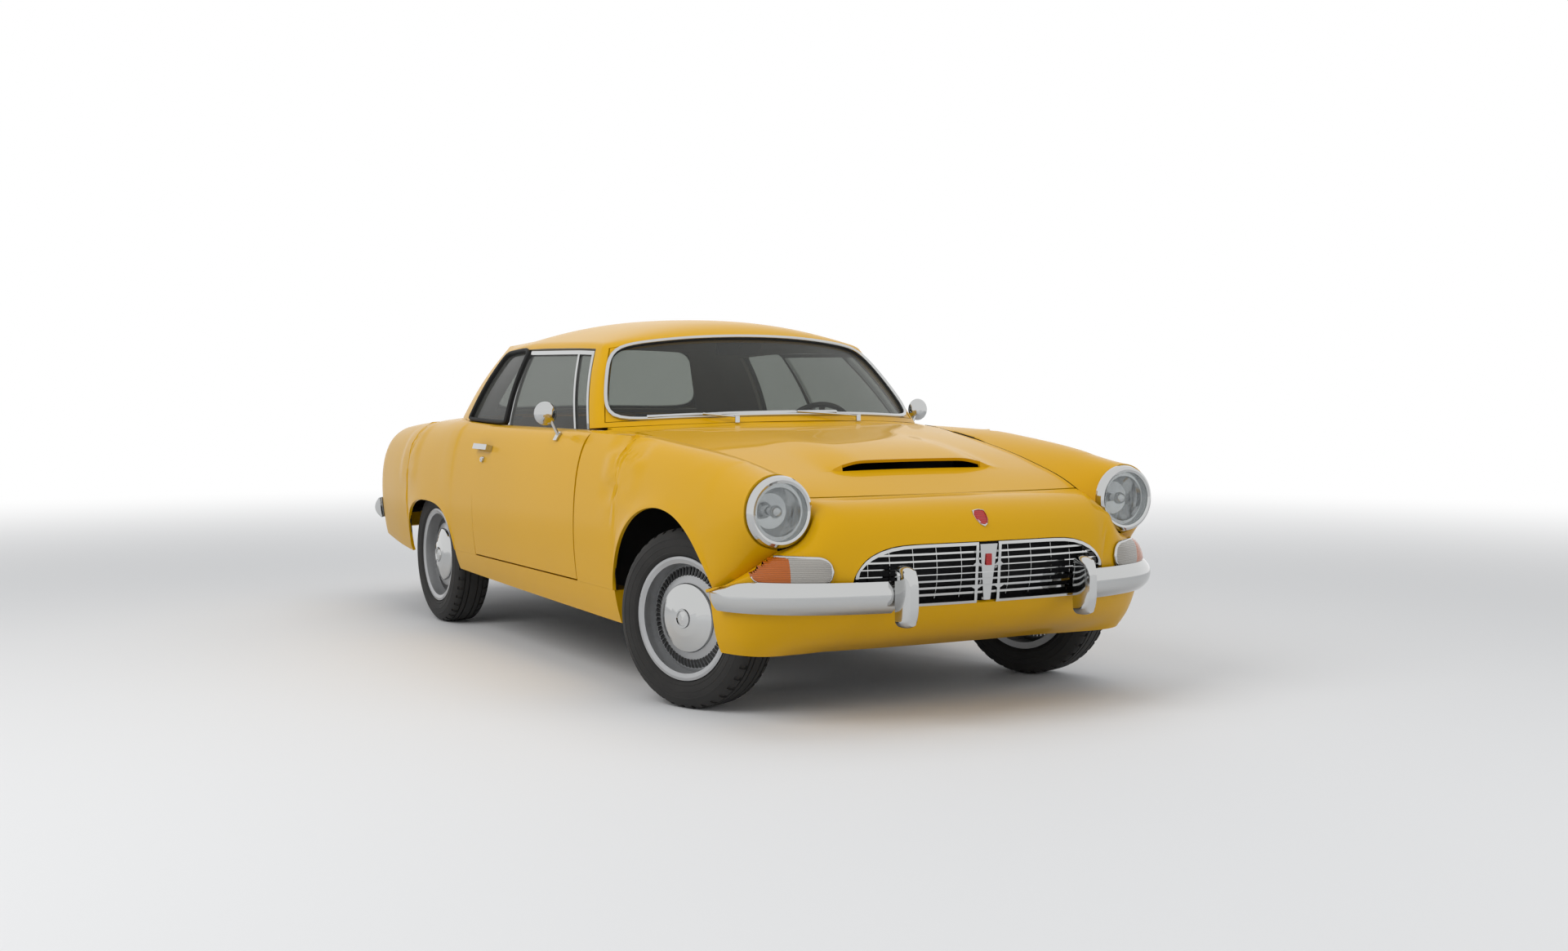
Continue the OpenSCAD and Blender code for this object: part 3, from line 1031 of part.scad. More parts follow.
// Door fittings: window frame, pull handle, mirror
handle_x = door_rear_x + 100;
handle_zs = [792, 814];
mirror_x = door_front_x - 269;
module side_patch(xs, zs, a, b) layer([for (x = xs) [for (z = zs) side_point(x, side_v(x, z))]], a, b);
module door_fittings() {
    window_frame();
    for (x = [handle_x - 80, handle_x + 50]) side_patch([x, x + 30], handle_zs, seat, 15 - seat);
    side_patch([handle_x - 80, handle_x - 50, handle_x + 50, handle_x + 80], handle_zs, 15, 27);
    side_patch([mirror_x - 16, mirror_x + 16], steps(855, 885, 3), plate_gap, 7);
    rod([mirror_x, -half_w + 56, waist_z - 19], [mirror_x, -half_w + 20, waist_z + 50], 6);
    translate([mirror_x - 12, -half_w + 8, waist_z + 64]) rotate([0, 90, 0]) rotate_extrude($fn = 48)
        polygon([[0, 0], [45, 0], [45, 6], [38, 16], [20, 24], [0, 26]]);
}
module door_trim_right() color("silver") door_fittings();
module door_trim_left() color("silver") mirror([0, 1, 0]) door_fittings();

front_wings();
nose_panel();
bonnet();
boot_lid();
rear_body();
sills();
roof_panel();
decks();
door_right();
door_left();
windscreen();
rear_window();
quarter_windows();
door_glass_right();
door_glass_left();
door_trim_right();
door_trim_left();
floor_pan();
bulkhead();
front_rails();
boot_floor();
hinges();
engine();
rear_axle();
leaf_springs();
front_suspension();
exhaust();
headlamp_rims();
headlamp_lenses();
front_lamps();
tail_lamps();
grille();
front_bumpers();
rear_bumper();
front_seats();
rear_seat();
dashboard();
steering_wheel();
interior_mirror();
wipers();
wheel(0);  // wheel_front_left
wheel(1);  // wheel_front_right
wheel(2);  // wheel_rear_left
wheel(3);  // wheel_rear_right
tyre(0);  // tyre_front_left
tyre(1);  // tyre_front_right
tyre(2);  // tyre_rear_left
tyre(3);  // tyre_rear_right
hubcap(0);  // hubcap_front_left
hubcap(1);  // hubcap_front_right
hubcap(2);  // hubcap_rear_left
hubcap(3);  // hubcap_rear_right
knuckle(0);  // knuckle_left
knuckle(1);  // knuckle_right
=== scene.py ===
"""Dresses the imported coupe: paint, bright metal, glass, tyres, cabin trim and a plain studio round it."""
import json
import math

import bpy
import numpy as np
from bpy.props import FloatProperty, FloatVectorProperty, IntProperty, PointerProperty
from bpy.types import Operator, Panel, PropertyGroup
from mathutils import Matrix, Vector

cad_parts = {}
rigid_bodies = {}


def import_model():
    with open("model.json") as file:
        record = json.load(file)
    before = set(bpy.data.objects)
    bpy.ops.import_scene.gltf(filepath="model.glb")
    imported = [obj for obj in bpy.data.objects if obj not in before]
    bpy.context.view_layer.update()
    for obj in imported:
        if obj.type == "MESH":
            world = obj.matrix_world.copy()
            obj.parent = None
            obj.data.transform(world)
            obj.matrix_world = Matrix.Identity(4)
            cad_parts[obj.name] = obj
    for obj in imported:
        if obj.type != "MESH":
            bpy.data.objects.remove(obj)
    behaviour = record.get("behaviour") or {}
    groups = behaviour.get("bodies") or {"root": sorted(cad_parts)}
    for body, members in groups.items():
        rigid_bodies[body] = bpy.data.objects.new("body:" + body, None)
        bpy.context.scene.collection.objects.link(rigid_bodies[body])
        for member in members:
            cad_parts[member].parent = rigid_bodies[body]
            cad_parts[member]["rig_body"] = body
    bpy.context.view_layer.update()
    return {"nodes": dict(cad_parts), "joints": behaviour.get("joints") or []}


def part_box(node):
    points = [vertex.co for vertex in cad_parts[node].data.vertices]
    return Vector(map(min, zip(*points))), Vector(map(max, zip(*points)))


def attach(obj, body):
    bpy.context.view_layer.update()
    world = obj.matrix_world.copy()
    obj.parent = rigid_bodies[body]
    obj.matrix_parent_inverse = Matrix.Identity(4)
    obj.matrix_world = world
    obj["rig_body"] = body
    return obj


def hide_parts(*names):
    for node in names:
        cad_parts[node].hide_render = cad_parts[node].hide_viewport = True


bl_info = {
    "name": "Coupe dressing",
    "version": (1, 0, 0),
    "blender": (4, 5, 0),
    "location": "View3D > Sidebar > Coupe",
    "description": "Surfaces, trim and studio for the packed coupe",
    "category": "Object",
}

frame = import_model()
NODES = frame["nodes"]
JOINTS = {j["name"]: j for j in frame["joints"]}
CORNERS = ("front_left", "front_right", "rear_left", "rear_right")
SIDES = (("left", 1), ("right", -1))
TIDY = 1e-5  # merging distance for loose CAD triangles
SHARP = 38  # degrees; an edge sharper than this stays an edge
QUAD_BEND = math.radians(35)  # two triangles become a quad up to this bend
QUAD_SKEW = math.radians(70)
UP = Vector((0, 0, 1))
AHEAD = Vector((1, 0, 0))
MIRROR = Matrix.Diagonal((1, -1, 1, 1))
BEYOND_NOSE = 2.6  # where rays that look for the nose start


# Settings

def colour_setting(name, description, default):
    """A colour that a user can change"""
    return FloatVectorProperty(name=name, description=description, default=default, subtype="COLOR", size=3,
                               min=0, max=1)


class FinishSettings(PropertyGroup):
    """Colours of the finishes"""
    paint: colour_setting("Paint", "Body colour", (0.64, 0.345, 0.002))
    hide: colour_setting("Hide", "Seat and trim colour", (0.16, 0.066, 0.028))
    rim: colour_setting("Rims", "Wheel paint", (0.42, 0.425, 0.43))
    floor: colour_setting("Floor", "Studio floor colour", (0.78, 0.78, 0.78))


class FormSettings(PropertyGroup):
    """Sizes of the added forms"""
    panel_levels: IntProperty(name="Panel smoothing", description="Subdivision of the body panels",
                              default=2, min=1, max=3)
    # Number of black pieces of painted shade set in the wheel slots
    slots: IntProperty(name="Wheel slots", description="Slots round a wheel disc", default=64, min=24, max=90)
    seal: FloatProperty(name="Seal", description="Radius of a window seal", default=0.007, min=0.002,
                        max=0.02, unit="LENGTH")


# Finishes

class Socket:
    """A node's output; arithmetic on it adds Math nodes to its finish"""

    def __init__(self, finish, output):
        self.finish = finish
        self.output = output

    def _math(self, operation, a, b):
        return self.finish.node("ShaderNodeMath", {"operation": operation}, {0: a, 1: b})

    def __add__(self, other):
        return self._math("ADD", self, other)

    def __radd__(self, other):
        return self._math("ADD", other, self)

    def __mul__(self, other):
        return self._math("MULTIPLY", self, other)

    def __rmul__(self, other):
        return self._math("MULTIPLY", other, self)

    def __gt__(self, other):
        return self._math("GREATER_THAN", self, other)

    def __lt__(self, other):
        return self._math("LESS_THAN", self, other)


class Finish:
    """A material and the nodes behind its main shader"""

    def __init__(self, name, **constants):
        self.material = bpy.data.materials.new(name)
        self.material.use_nodes = True
        self.tree = self.material.node_tree
        self.shader = self.tree.nodes["Principled BSDF"]
        for socket, value in constants.items():
            self.set(socket.replace("_", " "), value)

    def feed(self, target, value):
        """Links a value to a node's socket, or sets it there"""
        if isinstance(value, Socket):
            self.tree.links.new(value.output, target)
        elif target.type == "RGBA" and len(value) == 3:
            target.default_value = (*value, 1)
        else:
            target.default_value = value

    def set(self, socket, value):
        """Feeds a socket of the main shader"""
        self.feed(self.shader.inputs[socket], value)
        return self

    def node(self, kind, settings=None, inputs=None, output=0):
        """Adds a node of any kind"""
        n = self.tree.nodes.new(kind)
        for key, value in (settings or {}).items():
            setattr(n, key, value)
        for key, value in (inputs or {}).items():
            self.feed(n.inputs[key], value)
        return Socket(self, n.outputs[output])

    def mix(self, factor, a, b):
        """Ends the material in a mix of two shaders, from a at 0 to b at 1"""
        blend = self.tree.nodes.new("ShaderNodeMixShader")
        for target, source in zip(blend.inputs, (factor.output, a.outputs[0], b.outputs[0])):
            self.tree.links.new(source, target)
        self.tree.links.new(blend.outputs[0], self.tree.nodes["Material Output"].inputs["Surface"])
        return self

    def places(self):
        return self.node("ShaderNodeTexCoord", output="Object")

    def noise(self, scale, detail):
        return self.node("ShaderNodeTexNoise", None,
                         {"Vector": self.places(), "Scale": scale, "Detail": detail})

    def waves(self, direction, scale, profile="SIN"):
        return self.node("ShaderNodeTexWave", {"bands_direction": direction, "wave_profile": profile},
                         {"Vector": self.places(), "Scale": scale, "Distortion": 0})

    def between(self, factor, a, b):
        return self.node("ShaderNodeMix", {"data_type": "RGBA"}, {0: factor, 6: a, 7: b}, output=2)

    def bump(self, height, strength, distance):
        return self.set("Normal", self.node("ShaderNodeBump", None,
                                            {"Height": height, "Strength": strength, "Distance": distance}))


FINISHES = {}


def shade(colour, gain):
    return tuple(min(1, c * gain) for c in colour)


def make_paint(name, colour):
    f = Finish(name, Roughness=0.38, Specular_IOR_Level=0.05, Coat_Weight=0.4, Coat_Roughness=0.02,
               Coat_IOR=1.36)
    f.set("Base Color", f.between(f.noise(1.4, 2), shade(colour, 0.94), shade(colour, 1.05)))
    return f.bump(f.noise(420, 1), 0.02, 0.0004)


def make_bright(name, colour, rough):
    f = Finish(name, Base_Color=colour, Metallic=1.0)
    return f.set("Roughness", rough + rough * f.noise(22, 4))


def make_glass(name, tint, body, least, gloss=1.0):
    """Clear glass that closes from its least share of gloss to a mirror at a flat look"""
    f = Finish(name, Base_Color=body, Roughness=0.02, IOR=1.5)
    clear = f.tree.nodes.new("ShaderNodeBsdfTransparent")
    clear.inputs["Color"].default_value = (*tint, 1)
    facing = f.node("ShaderNodeLayerWeight", None, {"Blend": 0.5}, output="Facing")
    squared = facing * facing
    haze = 0.97 + 0.06 * f.noise(2.5, 3)
    return f.mix((least + squared * squared * 0.75 * gloss) * haze, clear, f.shader)


def make_hide(name, colour):
    f = Finish(name, Roughness=0.5)
    cells = f.node("ShaderNodeTexVoronoi", {"feature": "DISTANCE_TO_EDGE"},
                   {"Vector": f.places(), "Scale": 420})
    f.set("Base Color", f.between(f.noise(9, 4), shade(colour, 0.75), shade(colour, 1.2)))
    f.set("Roughness", 0.42 + 0.2 * f.noise(30, 3))
    return f.bump(cells, 0.35, 0.0006)


def make_rubber(name, colour, dust):
    f = Finish(name, Roughness=0.8)
    f.set("Base Color", f.between(f.noise(14, 5), colour, dust))
    return f.bump(f.noise(600, 2), 0.15, 0.0005)


def make_satin(name, colour, rough, metal=0.0, grain=160):
    f = Finish(name, Metallic=metal)
    f.set("Base Color", f.between(f.noise(6, 5), shade(colour, 0.8), shade(colour, 1.15)))
    f.set("Roughness", rough * (0.8 + 0.4 * f.noise(18, 4)))
    return f.bump(f.noise(grain, 3), 0.12, 0.0006)


def make_lens(name, colour):
    f = Finish(name, Roughness=0.22, Coat_Weight=0.35, Coat_Roughness=0.03, IOR=1.4)
    ribs = f.waves("Z", 55)
    # Painted highlight and shade: lighter on the ribs' crests, darker in their troughs
    f.set("Base Color", f.between(ribs, shade(colour, 0.72), shade(colour, 1.12)))
    return f.bump(ribs, 0.45, 0.002)


def make_fluted_glass(name, colour):
    """Lamp glass: upright flutes crossed by a few level bands"""
    f = make_glass(name, (0.96, 0.97, 0.97), colour, 0.13, gloss=0.6)
    flutes = f.waves("Y", 24)
    bands = f.waves("Z", 7, "TRI")
    return f.bump(flutes + 0.7 * bands, 0.8, 0.005)


def make_carpet(name, colour):
    f = Finish(name, Roughness=0.95)
    f.set("Base Color", f.between(f.noise(700, 2), shade(colour, 0.5), shade(colour, 1.3)))
    return f.bump(f.noise(900, 2), 0.6, 0.002)


def make_core(name):
    """Radiator matrix: fine upright fins, nearly black, with painted shade darker in the gaps between the
    fins
    """
    f = Finish(name, Roughness=0.75)
    fins = f.waves("Y", 90)
    # Painted shade: darker in the gaps between the fins, lighter on the fins
    f.set("Base Color", f.between(fins, (0.003, 0.003, 0.004), (0.016, 0.016, 0.019)))
    return f.bump(fins, 0.6, 0.002)


def make_dial(name):
    f = Finish(name, Roughness=0.3, Coat_Weight=1.0)
    f.set("Base Color", f.between(f.noise(240, 2) > 0.64, (0.01, 0.01, 0.01), (0.2, 0.2, 0.18)))
    return f


def make_finishes(colours):
    FINISHES.update(
        paint=make_paint("golden_paint", colours.paint),
        underseal=make_satin("underseal", (0.012, 0.012, 0.012), 0.85, grain=260),
        chrome=make_bright("chrome", (0.55, 0.556, 0.554), 0.045),
        mirror=make_bright("mirror_glass", (0.9, 0.9, 0.9), 0.01),
        alloy=make_satin("silver_wheel_paint", colours.rim, 0.3, metal=0.65, grain=500),
        glass=make_glass("window_glass", (0.74, 0.76, 0.74), (0.13, 0.13, 0.125), 0.16),
        # Painted reflection in part: the lamp glass's pale grey body stands in for the bright reflections in
        # its flutes
        lens=make_fluted_glass("lamp_glass", (0.62, 0.65, 0.67)),
        clear=make_lens("clear_lens", (0.36, 0.34, 0.31)),
        amber=make_lens("amber_lens", (0.44, 0.10, 0.004)),
        red=make_lens("red_lens", (0.42, 0.006, 0.006)),
        tyre=make_rubber("tyre_rubber", (0.012, 0.012, 0.012), (0.03, 0.028, 0.026)),
        rubber=make_rubber("seal_rubber", (0.008, 0.008, 0.008), (0.016, 0.016, 0.016)),
        hide=make_hide("brown_hide", colours.hide),
        # This black also colours the painted shade in the wheel slots
        black=make_satin("black_plastic", (0.014, 0.014, 0.014), 0.35),
        core=make_core("radiator_core"),
        dial=make_dial("dial_face"),
        carpet=make_carpet("brown_carpet", shade(colours.hide, 0.45)),
        lining=make_satin("roof_lining", (0.42, 0.38, 0.31), 0.9, grain=900),
        iron=make_satin("cast_iron", (0.09, 0.09, 0.095), 0.6, metal=0.5),
        steel=make_satin("worn_steel", (0.22, 0.21, 0.20), 0.5, metal=0.8),
    )


# Modelling helpers

def only(obj):
    """Selects one object alone"""
    bpy.ops.object.select_all(action="DESELECT")
    obj.select_set(True)
    bpy.context.view_layer.objects.active = obj


def edit(obj, mode="FACE"):
    """Opens a mesh in edit mode"""
    only(obj)
    bpy.ops.object.mode_set(mode="EDIT")
    bpy.ops.mesh.select_mode(type=mode)


def done():
    """Leaves edit mode"""
    bpy.ops.object.mode_set(mode="OBJECT")


def apply(obj, kind, **settings):
    """Adds a modifier and applies it"""
    only(obj)
    m = obj.modifiers.new(kind.title(), kind)
    for key, value in settings.items():
        setattr(m, key, value)
    bpy.ops.object.modifier_apply(modifier=m.name)


def copy_of(node, name, merge=TIDY):
    """A merged copy of a CAD node's mesh"""
    obj = bpy.data.objects.new(name, NODES[node].data.copy())
    bpy.context.scene.collection.objects.link(obj)
    obj.data.materials.clear()
    edit(obj)
    bpy.ops.mesh.select_all(action="SELECT")
    bpy.ops.mesh.customdata_custom_splitnormals_clear()
    bpy.ops.mesh.remove_doubles(threshold=merge)
    bpy.ops.mesh.tris_convert_to_quads(face_threshold=QUAD_BEND, shape_threshold=QUAD_SKEW)
    done()
    return obj


def loop(name, points, closed=True):
    """An edge loop through the points, or a chain of edges"""
    bpy.ops.object.select_all(action="DESELECT")
    bpy.ops.mesh.primitive_circle_add(vertices=len(points), radius=1)
    obj = bpy.context.active_object
    obj.name = name
    for v, p in zip(obj.data.vertices, points):
        v.co = p
    if not closed:
        ends = {0, len(points) - 1}
        for e in obj.data.edges:
            e.select = set(e.vertices) == ends
        for v in obj.data.vertices:
            v.select = v.index in ends
        edit(obj, "EDGE")
        bpy.ops.mesh.delete(type="EDGE")
        done()
    return obj


def whole(obj, outward=True):
    """Merges a new mesh's doubles and turns its faces outwards"""
    edit(obj)
    bpy.ops.mesh.select_all(action="SELECT")
    bpy.ops.mesh.remove_doubles(threshold=TIDY)
    if outward:
        bpy.ops.mesh.normals_make_consistent(inside=False)
    done()
    return obj


def turned(name, section, centre=(0, 0, 0), axis=UP, steps=64):
    """A piece turned on a lathe: rows of radius and place along the axis"""
    centre, axis = Vector(centre), Vector(axis).normalized()
    across = axis.orthogonal().normalized()
    obj = loop(name, [centre + across * r + axis * h for r, h in section])
    edit(obj, "VERT")
    bpy.ops.mesh.select_all(action="SELECT")
    bpy.ops.mesh.spin(steps=steps, angle=math.tau, center=centre, axis=axis)
    done()
    return whole(obj)


def block(name, low, high, bevel, segments=3):
    """A box with rounded edges"""
    bpy.ops.object.select_all(action="DESELECT")
    bpy.ops.mesh.primitive_cube_add(size=1)
    obj = bpy.context.active_object
    obj.name = name
    low, high = Vector(low), Vector(high)
    obj.data.transform(Matrix.Translation((low + high) / 2) @ Matrix.Diagonal((*(high - low), 1)))
    edit(obj)
    bpy.ops.mesh.select_all(action="SELECT")
    bpy.ops.mesh.bevel(offset=bevel, segments=segments, affect="EDGES")
    done()
    return obj


def round_bar(obj, radius, sides=3):
    """Turns a chain of edges into a round bar"""
    only(obj)
    bpy.ops.object.convert(target="CURVE")
    obj = bpy.context.active_object
    obj.data.bevel_depth = radius
    obj.data.bevel_resolution = sides
    obj.data.use_fill_caps = True
    bpy.ops.object.convert(target="MESH")
    return smooth(bpy.context.active_object, 60)


def twin(obj, name, matrix):
    """A copy with its own mesh, moved in its mesh"""
    other = bpy.data.objects.new(name, obj.data.copy())
    bpy.context.scene.collection.objects.link(other)
    other.data.transform(matrix)
    if matrix.determinant() < 0:
        other.data.flip_normals()
    return other


def both(obj):
    """A piece of the left side and its mirror image"""
    return obj, twin(obj, obj.name.replace("left", "right"), MIRROR)


def select_faces(obj, test):
    """Selects the faces that pass a test on centre and normal"""
    for group in (obj.data.vertices, obj.data.edges):
        for element in group:
            element.select = False
    for p in obj.data.polygons:
        p.select = test(p.center, p.normal)


ROUNDING = 9  # smoothing steps that round a bead's corners
FILL_THICK = 0.0015


def keep_border():
    """Cuts the selected faces down to the edges round them"""
    bpy.ops.mesh.select_mode(type="EDGE")
    bpy.ops.mesh.region_to_loop()
    bpy.ops.mesh.select_all(action="INVERT")
    bpy.ops.mesh.delete(type="EDGE_FACE")


def border_loop(node, name, test, lift, rounding):
    """The border of a pane's outer face as a loop of edges, its corners rounded"""
    obj = soften(copy_of(node, name), 2)
    select_faces(obj, lambda c, n: not test(c, n))
    edit(obj)
    bpy.ops.mesh.delete(type="FACE")
    bpy.ops.mesh.select_all(action="SELECT")
    bpy.ops.transform.shrink_fatten(value=lift)
    keep_border()
    bpy.ops.mesh.select_all(action="SELECT")
    if rounding:
        bpy.ops.mesh.vertices_smooth(factor=0.5, repeat=rounding)
    done()
    return obj


def border(node, name, test, lift, radius, rounding):
    """A round bead along the border of a pane's outer face"""
    return round_bar(border_loop(node, name, test, lift, rounding), radius)


def corner_fill(node, name, test, lift):
    """Fills the corners between a pane's border and its rounded bead"""
    outer = border_loop(node, name, test, lift, 0)
    inner = border_loop(node, name + "_inner", test, lift, ROUNDING)
    only(outer)
    inner.select_set(True)
    bpy.ops.object.join()
    edit(outer, "EDGE")
    bpy.ops.mesh.select_all(action="SELECT")
    bpy.ops.mesh.bridge_edge_loops()
    done()
    apply(outer, "SOLIDIFY", thickness=FILL_THICK, offset=0)
    return smooth(whole(outer), 40)


def crease(obj, angle):
    """Creases every edge sharper than angle, so smoothing keeps it"""
    edit(obj, "EDGE")
    bpy.ops.mesh.select_all(action="DESELECT")
    bpy.ops.mesh.edges_select_sharp(sharpness=math.radians(angle))
    done()
    marks = obj.data.attributes
    layer = marks.get("crease_edge") or marks.new("crease_edge", "FLOAT", "EDGE")
    for e in obj.data.edges:
        if e.select:
            layer.data[e.index].value = 1.0


def soften(obj, levels, angle=SHARP):
    """Rounds a mesh by subdivision, with its sharp edges kept"""
    crease(obj, angle)
    apply(obj, "SUBSURF", levels=levels, render_levels=levels)
    return smooth(obj, angle)


def smooth(obj, angle=SHARP):
    """Shades a mesh smooth up to angle"""
    only(obj)
    bpy.ops.object.shade_smooth_by_angle(angle=math.radians(angle))
    return obj


def share(value, low, high):
    """How far a value lies between low and high, from 0 to 1"""
    return max(0.0, min(1.0, (value - low) / (high - low)))


MERGE = {"front_wings": 0.0016, "rear_body": 0.0016}  # joins the columns 1 mm apart at an arch's end
ARCH_ENDS = {"front_wings": (1.03, 1.09), "rear_body": (-1.39, -1.35)}
EASE_REACH = 0.14  # along the car from an arch's end
EASE_FADE = 0.06
EASE_FLOOR = 0.60
EASE_RISE = 0.07  # height over which the easing comes in
EASE_LEAN = (0.3, 0.5)  # how far a face looks sideways, from none of the easing to all
EASE_MOST = 0.008
FLOW_LENGTH = 0.10  # how far the fit looks along the car
FLOW_HEIGHT = 0.035
CABIN_SIDE = 0.3


def smooth_side(points, x, z):
    """Where a smooth side through the points lies at x and z: a weighted fit, curved upwards only"""
    dx, dz = points[:, 0] - x, points[:, 2] - z
    weight = np.exp(-(dx / FLOW_LENGTH) ** 2 - (dz / FLOW_HEIGHT) ** 2) + 1e-9
    terms = np.stack((np.ones_like(dx), dx, dz, dz * dz), axis=1) * weight[:, None]
    return np.linalg.lstsq(terms, points[:, 1] * weight, rcond=None)[0][0]


def ease(obj, node):
    """Lays the skin over an arch's ends on the smooth form that the CAD points follow"""
    cad = NODES[node].data
    moves = {}
    for side in (-1, 1):
        for facing in (-1, 1):
            flow = [v.co for v in cad.vertices if v.co.y * side > 0 and v.normal.y * side * facing > 0.25]
            points = np.array([tuple(c) for c in flow])
            for v in obj.data.vertices:
                near = min(abs(v.co.x - x) for x in ARCH_ENDS[node])
                lean = v.normal.y * side * facing
                away = v.co.y * side < CABIN_SIDE or near > EASE_REACH
                if away or lean < EASE_LEAN[0] or v.co.z < EASE_FLOOR:
                    continue
                move = smooth_side(points, v.co.x, v.co.z) - v.co.y
                part = share(EASE_REACH - near, 0, EASE_FADE) * share(lean, *EASE_LEAN)
                part *= share(v.co.z, EASE_FLOOR, EASE_FLOOR + EASE_RISE)
                moves[v.index] = v.co.y + max(-EASE_MOST, min(EASE_MOST, move)) * part
    for index, y in moves.items():
        obj.data.vertices[index].co.y = y
    obj.data.update()


def put(obj, body, slot, *finishes, replaced=()):
    """Gives a piece its finishes and its body"""
    for f in finishes:
        obj.data.materials.append(FINISHES[f].material)
    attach(obj, body)
    if replaced:
        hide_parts(*replaced)
    return obj


def body_with(node):
    """The body that a CAD node rides"""
    return NODES[node]["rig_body"]


def wear(node, finish):
    """Puts a finish on a CAD node that keeps its own shape"""
    NODES[node].data.materials.clear()
    NODES[node].data.materials.append(FINISHES[finish].material)
    smooth(NODES[node], 32)


def dress(node, name, slot, *finishes, levels=2, angle=SHARP, merge=TIDY):
    """A smoothed copy that stands for its CAD node"""
    obj = soften(copy_of(node, name, merge), levels, angle)
    return put(obj, body_with(node), slot, *finishes, replaced=(node,))


def paint_faces(obj, index, test):
    """Gives the faces that pass a test on centre and normal another of the piece's finishes"""
    for p in obj.data.polygons:
        if test(p.center, p.normal):
            p.material_index = index


# Pieces

# A line along the body's middle, which its inner faces look at
SPINE_REACH = 1.4
SPINE_HEIGHT = 0.55
# The cabin's middle, which the roof lining looks at
CABIN_BACK = 0.25
CABIN_HEIGHT = 0.9
CABIN_STRETCH = 1.2


class COUPE_OT_shell(Operator):
    """Smooth the painted body panels"""
    bl_idname = "coupe.shell"
    bl_label = "Body shell"

    def execute(self, context):
        levels = context.scene.coupe_forms.panel_levels
        for node in ("front_wings", "nose_panel", "bonnet", "boot_lid", "rear_body", "sills", "decks"):
            panel = dress(node, node + "_skin", "paint", "paint", "underseal", levels=levels,
                          merge=MERGE.get(node, TIDY))
            if node in ARCH_ENDS:
                ease(panel, node)
            if node in ("front_wings", "rear_body", "nose_panel"):
                paint_faces(panel, 1, self.inner)
        for side, sign in SIDES:
            door = dress("door_" + side, "door_skin_" + side, "paint", "paint", "hide", levels=levels)
            paint_faces(door, 1, lambda c, n: n.y * sign < -0.9)
        roof = dress("roof_panel", "roof_skin", "paint", "paint", "lining", levels=levels)
        paint_faces(roof, 1, self.lining)
        return {"FINISHED"}

    @staticmethod
    def inner(c, n):
        """True for a face that looks at the body's middle line"""
        away = c - Vector((max(-SPINE_REACH, min(SPINE_REACH, c.x)), 0, SPINE_HEIGHT))
        return n.z < 0.25 and n.dot(away.normalized()) < -0.2

    @staticmethod
    def lining(c, n):
        """True for a face that looks at the cabin's middle"""
        return n.dot(Vector((c.x + CABIN_BACK, c.y, (c.z - CABIN_HEIGHT) * CABIN_STRETCH))) < 0


SEAL_LIFT = 0.004
SURROUND_LIFT = 0.011
SURROUND_GAIN = 1.15
CORNER_LIFT = 0.0045
SIDE_ROUNDING = 2


class COUPE_OT_glazing(Operator):
    """Smooth panes with rubber seals and bright surrounds"""
    bl_idname = "coupe.glazing"
    bl_label = "Glass"

    def execute(self, context):
        seal = context.scene.coupe_forms.seal
        for node in ("windscreen", "rear_window", "quarter_windows", "door_glass_left", "door_glass_right"):
            dress(node, node + "_pane", "glass", "glass", levels=2)
        outward = {
            "windscreen": lambda c, n: n.dot(Vector((0.55, c.y * 0.8, 0.8)).normalized()) > 0.7,
            "rear_window": lambda c, n: n.dot(Vector((-0.6, 0, 0.8))) > 0.7,
            "quarter_windows": lambda c, n: n.y * (1 if c.y > 0 else -1) > 0.6,
        }
        for node, test in outward.items():
            side = node == "quarter_windows"
            rounding = SIDE_ROUNDING if side else ROUNDING
            put(border(node, node + "_seal", test, SEAL_LIFT, seal, rounding), "body", "black", "rubber")
            bead = border(node, node + "_surround", test, SURROUND_LIFT, seal * SURROUND_GAIN, rounding)
            put(bead, "body", *(("black", "rubber") if side else ("chrome", "chrome")))
            if not side:
                put(corner_fill(node, node + "_corners", test, CORNER_LIFT), "body", "paint", "paint")
        return {"FINISHED"}


COVER_EDGE = 0.009
COVER_STEP = 0.003
# Radius and place along the axis
BULB = [(0, -0.060), (0.012, -0.060), (0.012, -0.040), (0.019, -0.034), (0.021, -0.022), (0.017, -0.010),
        (0.009, -0.004), (0, -0.003)]
# Across and up
INDICATOR_MIDDLE = Vector((0.652, 0.4985))
INDICATOR_HALF = Vector((0.106, 0.0405))
INDICATOR_LIFT = 0.0065
INDICATOR_CROWN = 0.011
INDICATOR_WALL = 0.004
AMBER_START = 0.672
BESIDE_NOSE = 1.95


def lamp_cover(node, name, slot, out, *finishes):
    """A lamp's cover: a lens of the first finish, let into an edge of the last"""
    obj = copy_of(node, name)
    select_faces(obj, out)
    edit(obj)
    bpy.ops.mesh.inset(thickness=COVER_EDGE, use_boundary=True)
    bpy.ops.transform.shrink_fatten(value=-COVER_STEP)
    done()
    lens = {p.index for p in obj.data.polygons if p.select}
    for p in obj.data.polygons:
        p.material_index = 0 if p.index in lens else len(finishes) - 1
    return put(soften(obj, 2, 50), "body", slot, *finishes, replaced=(node,))


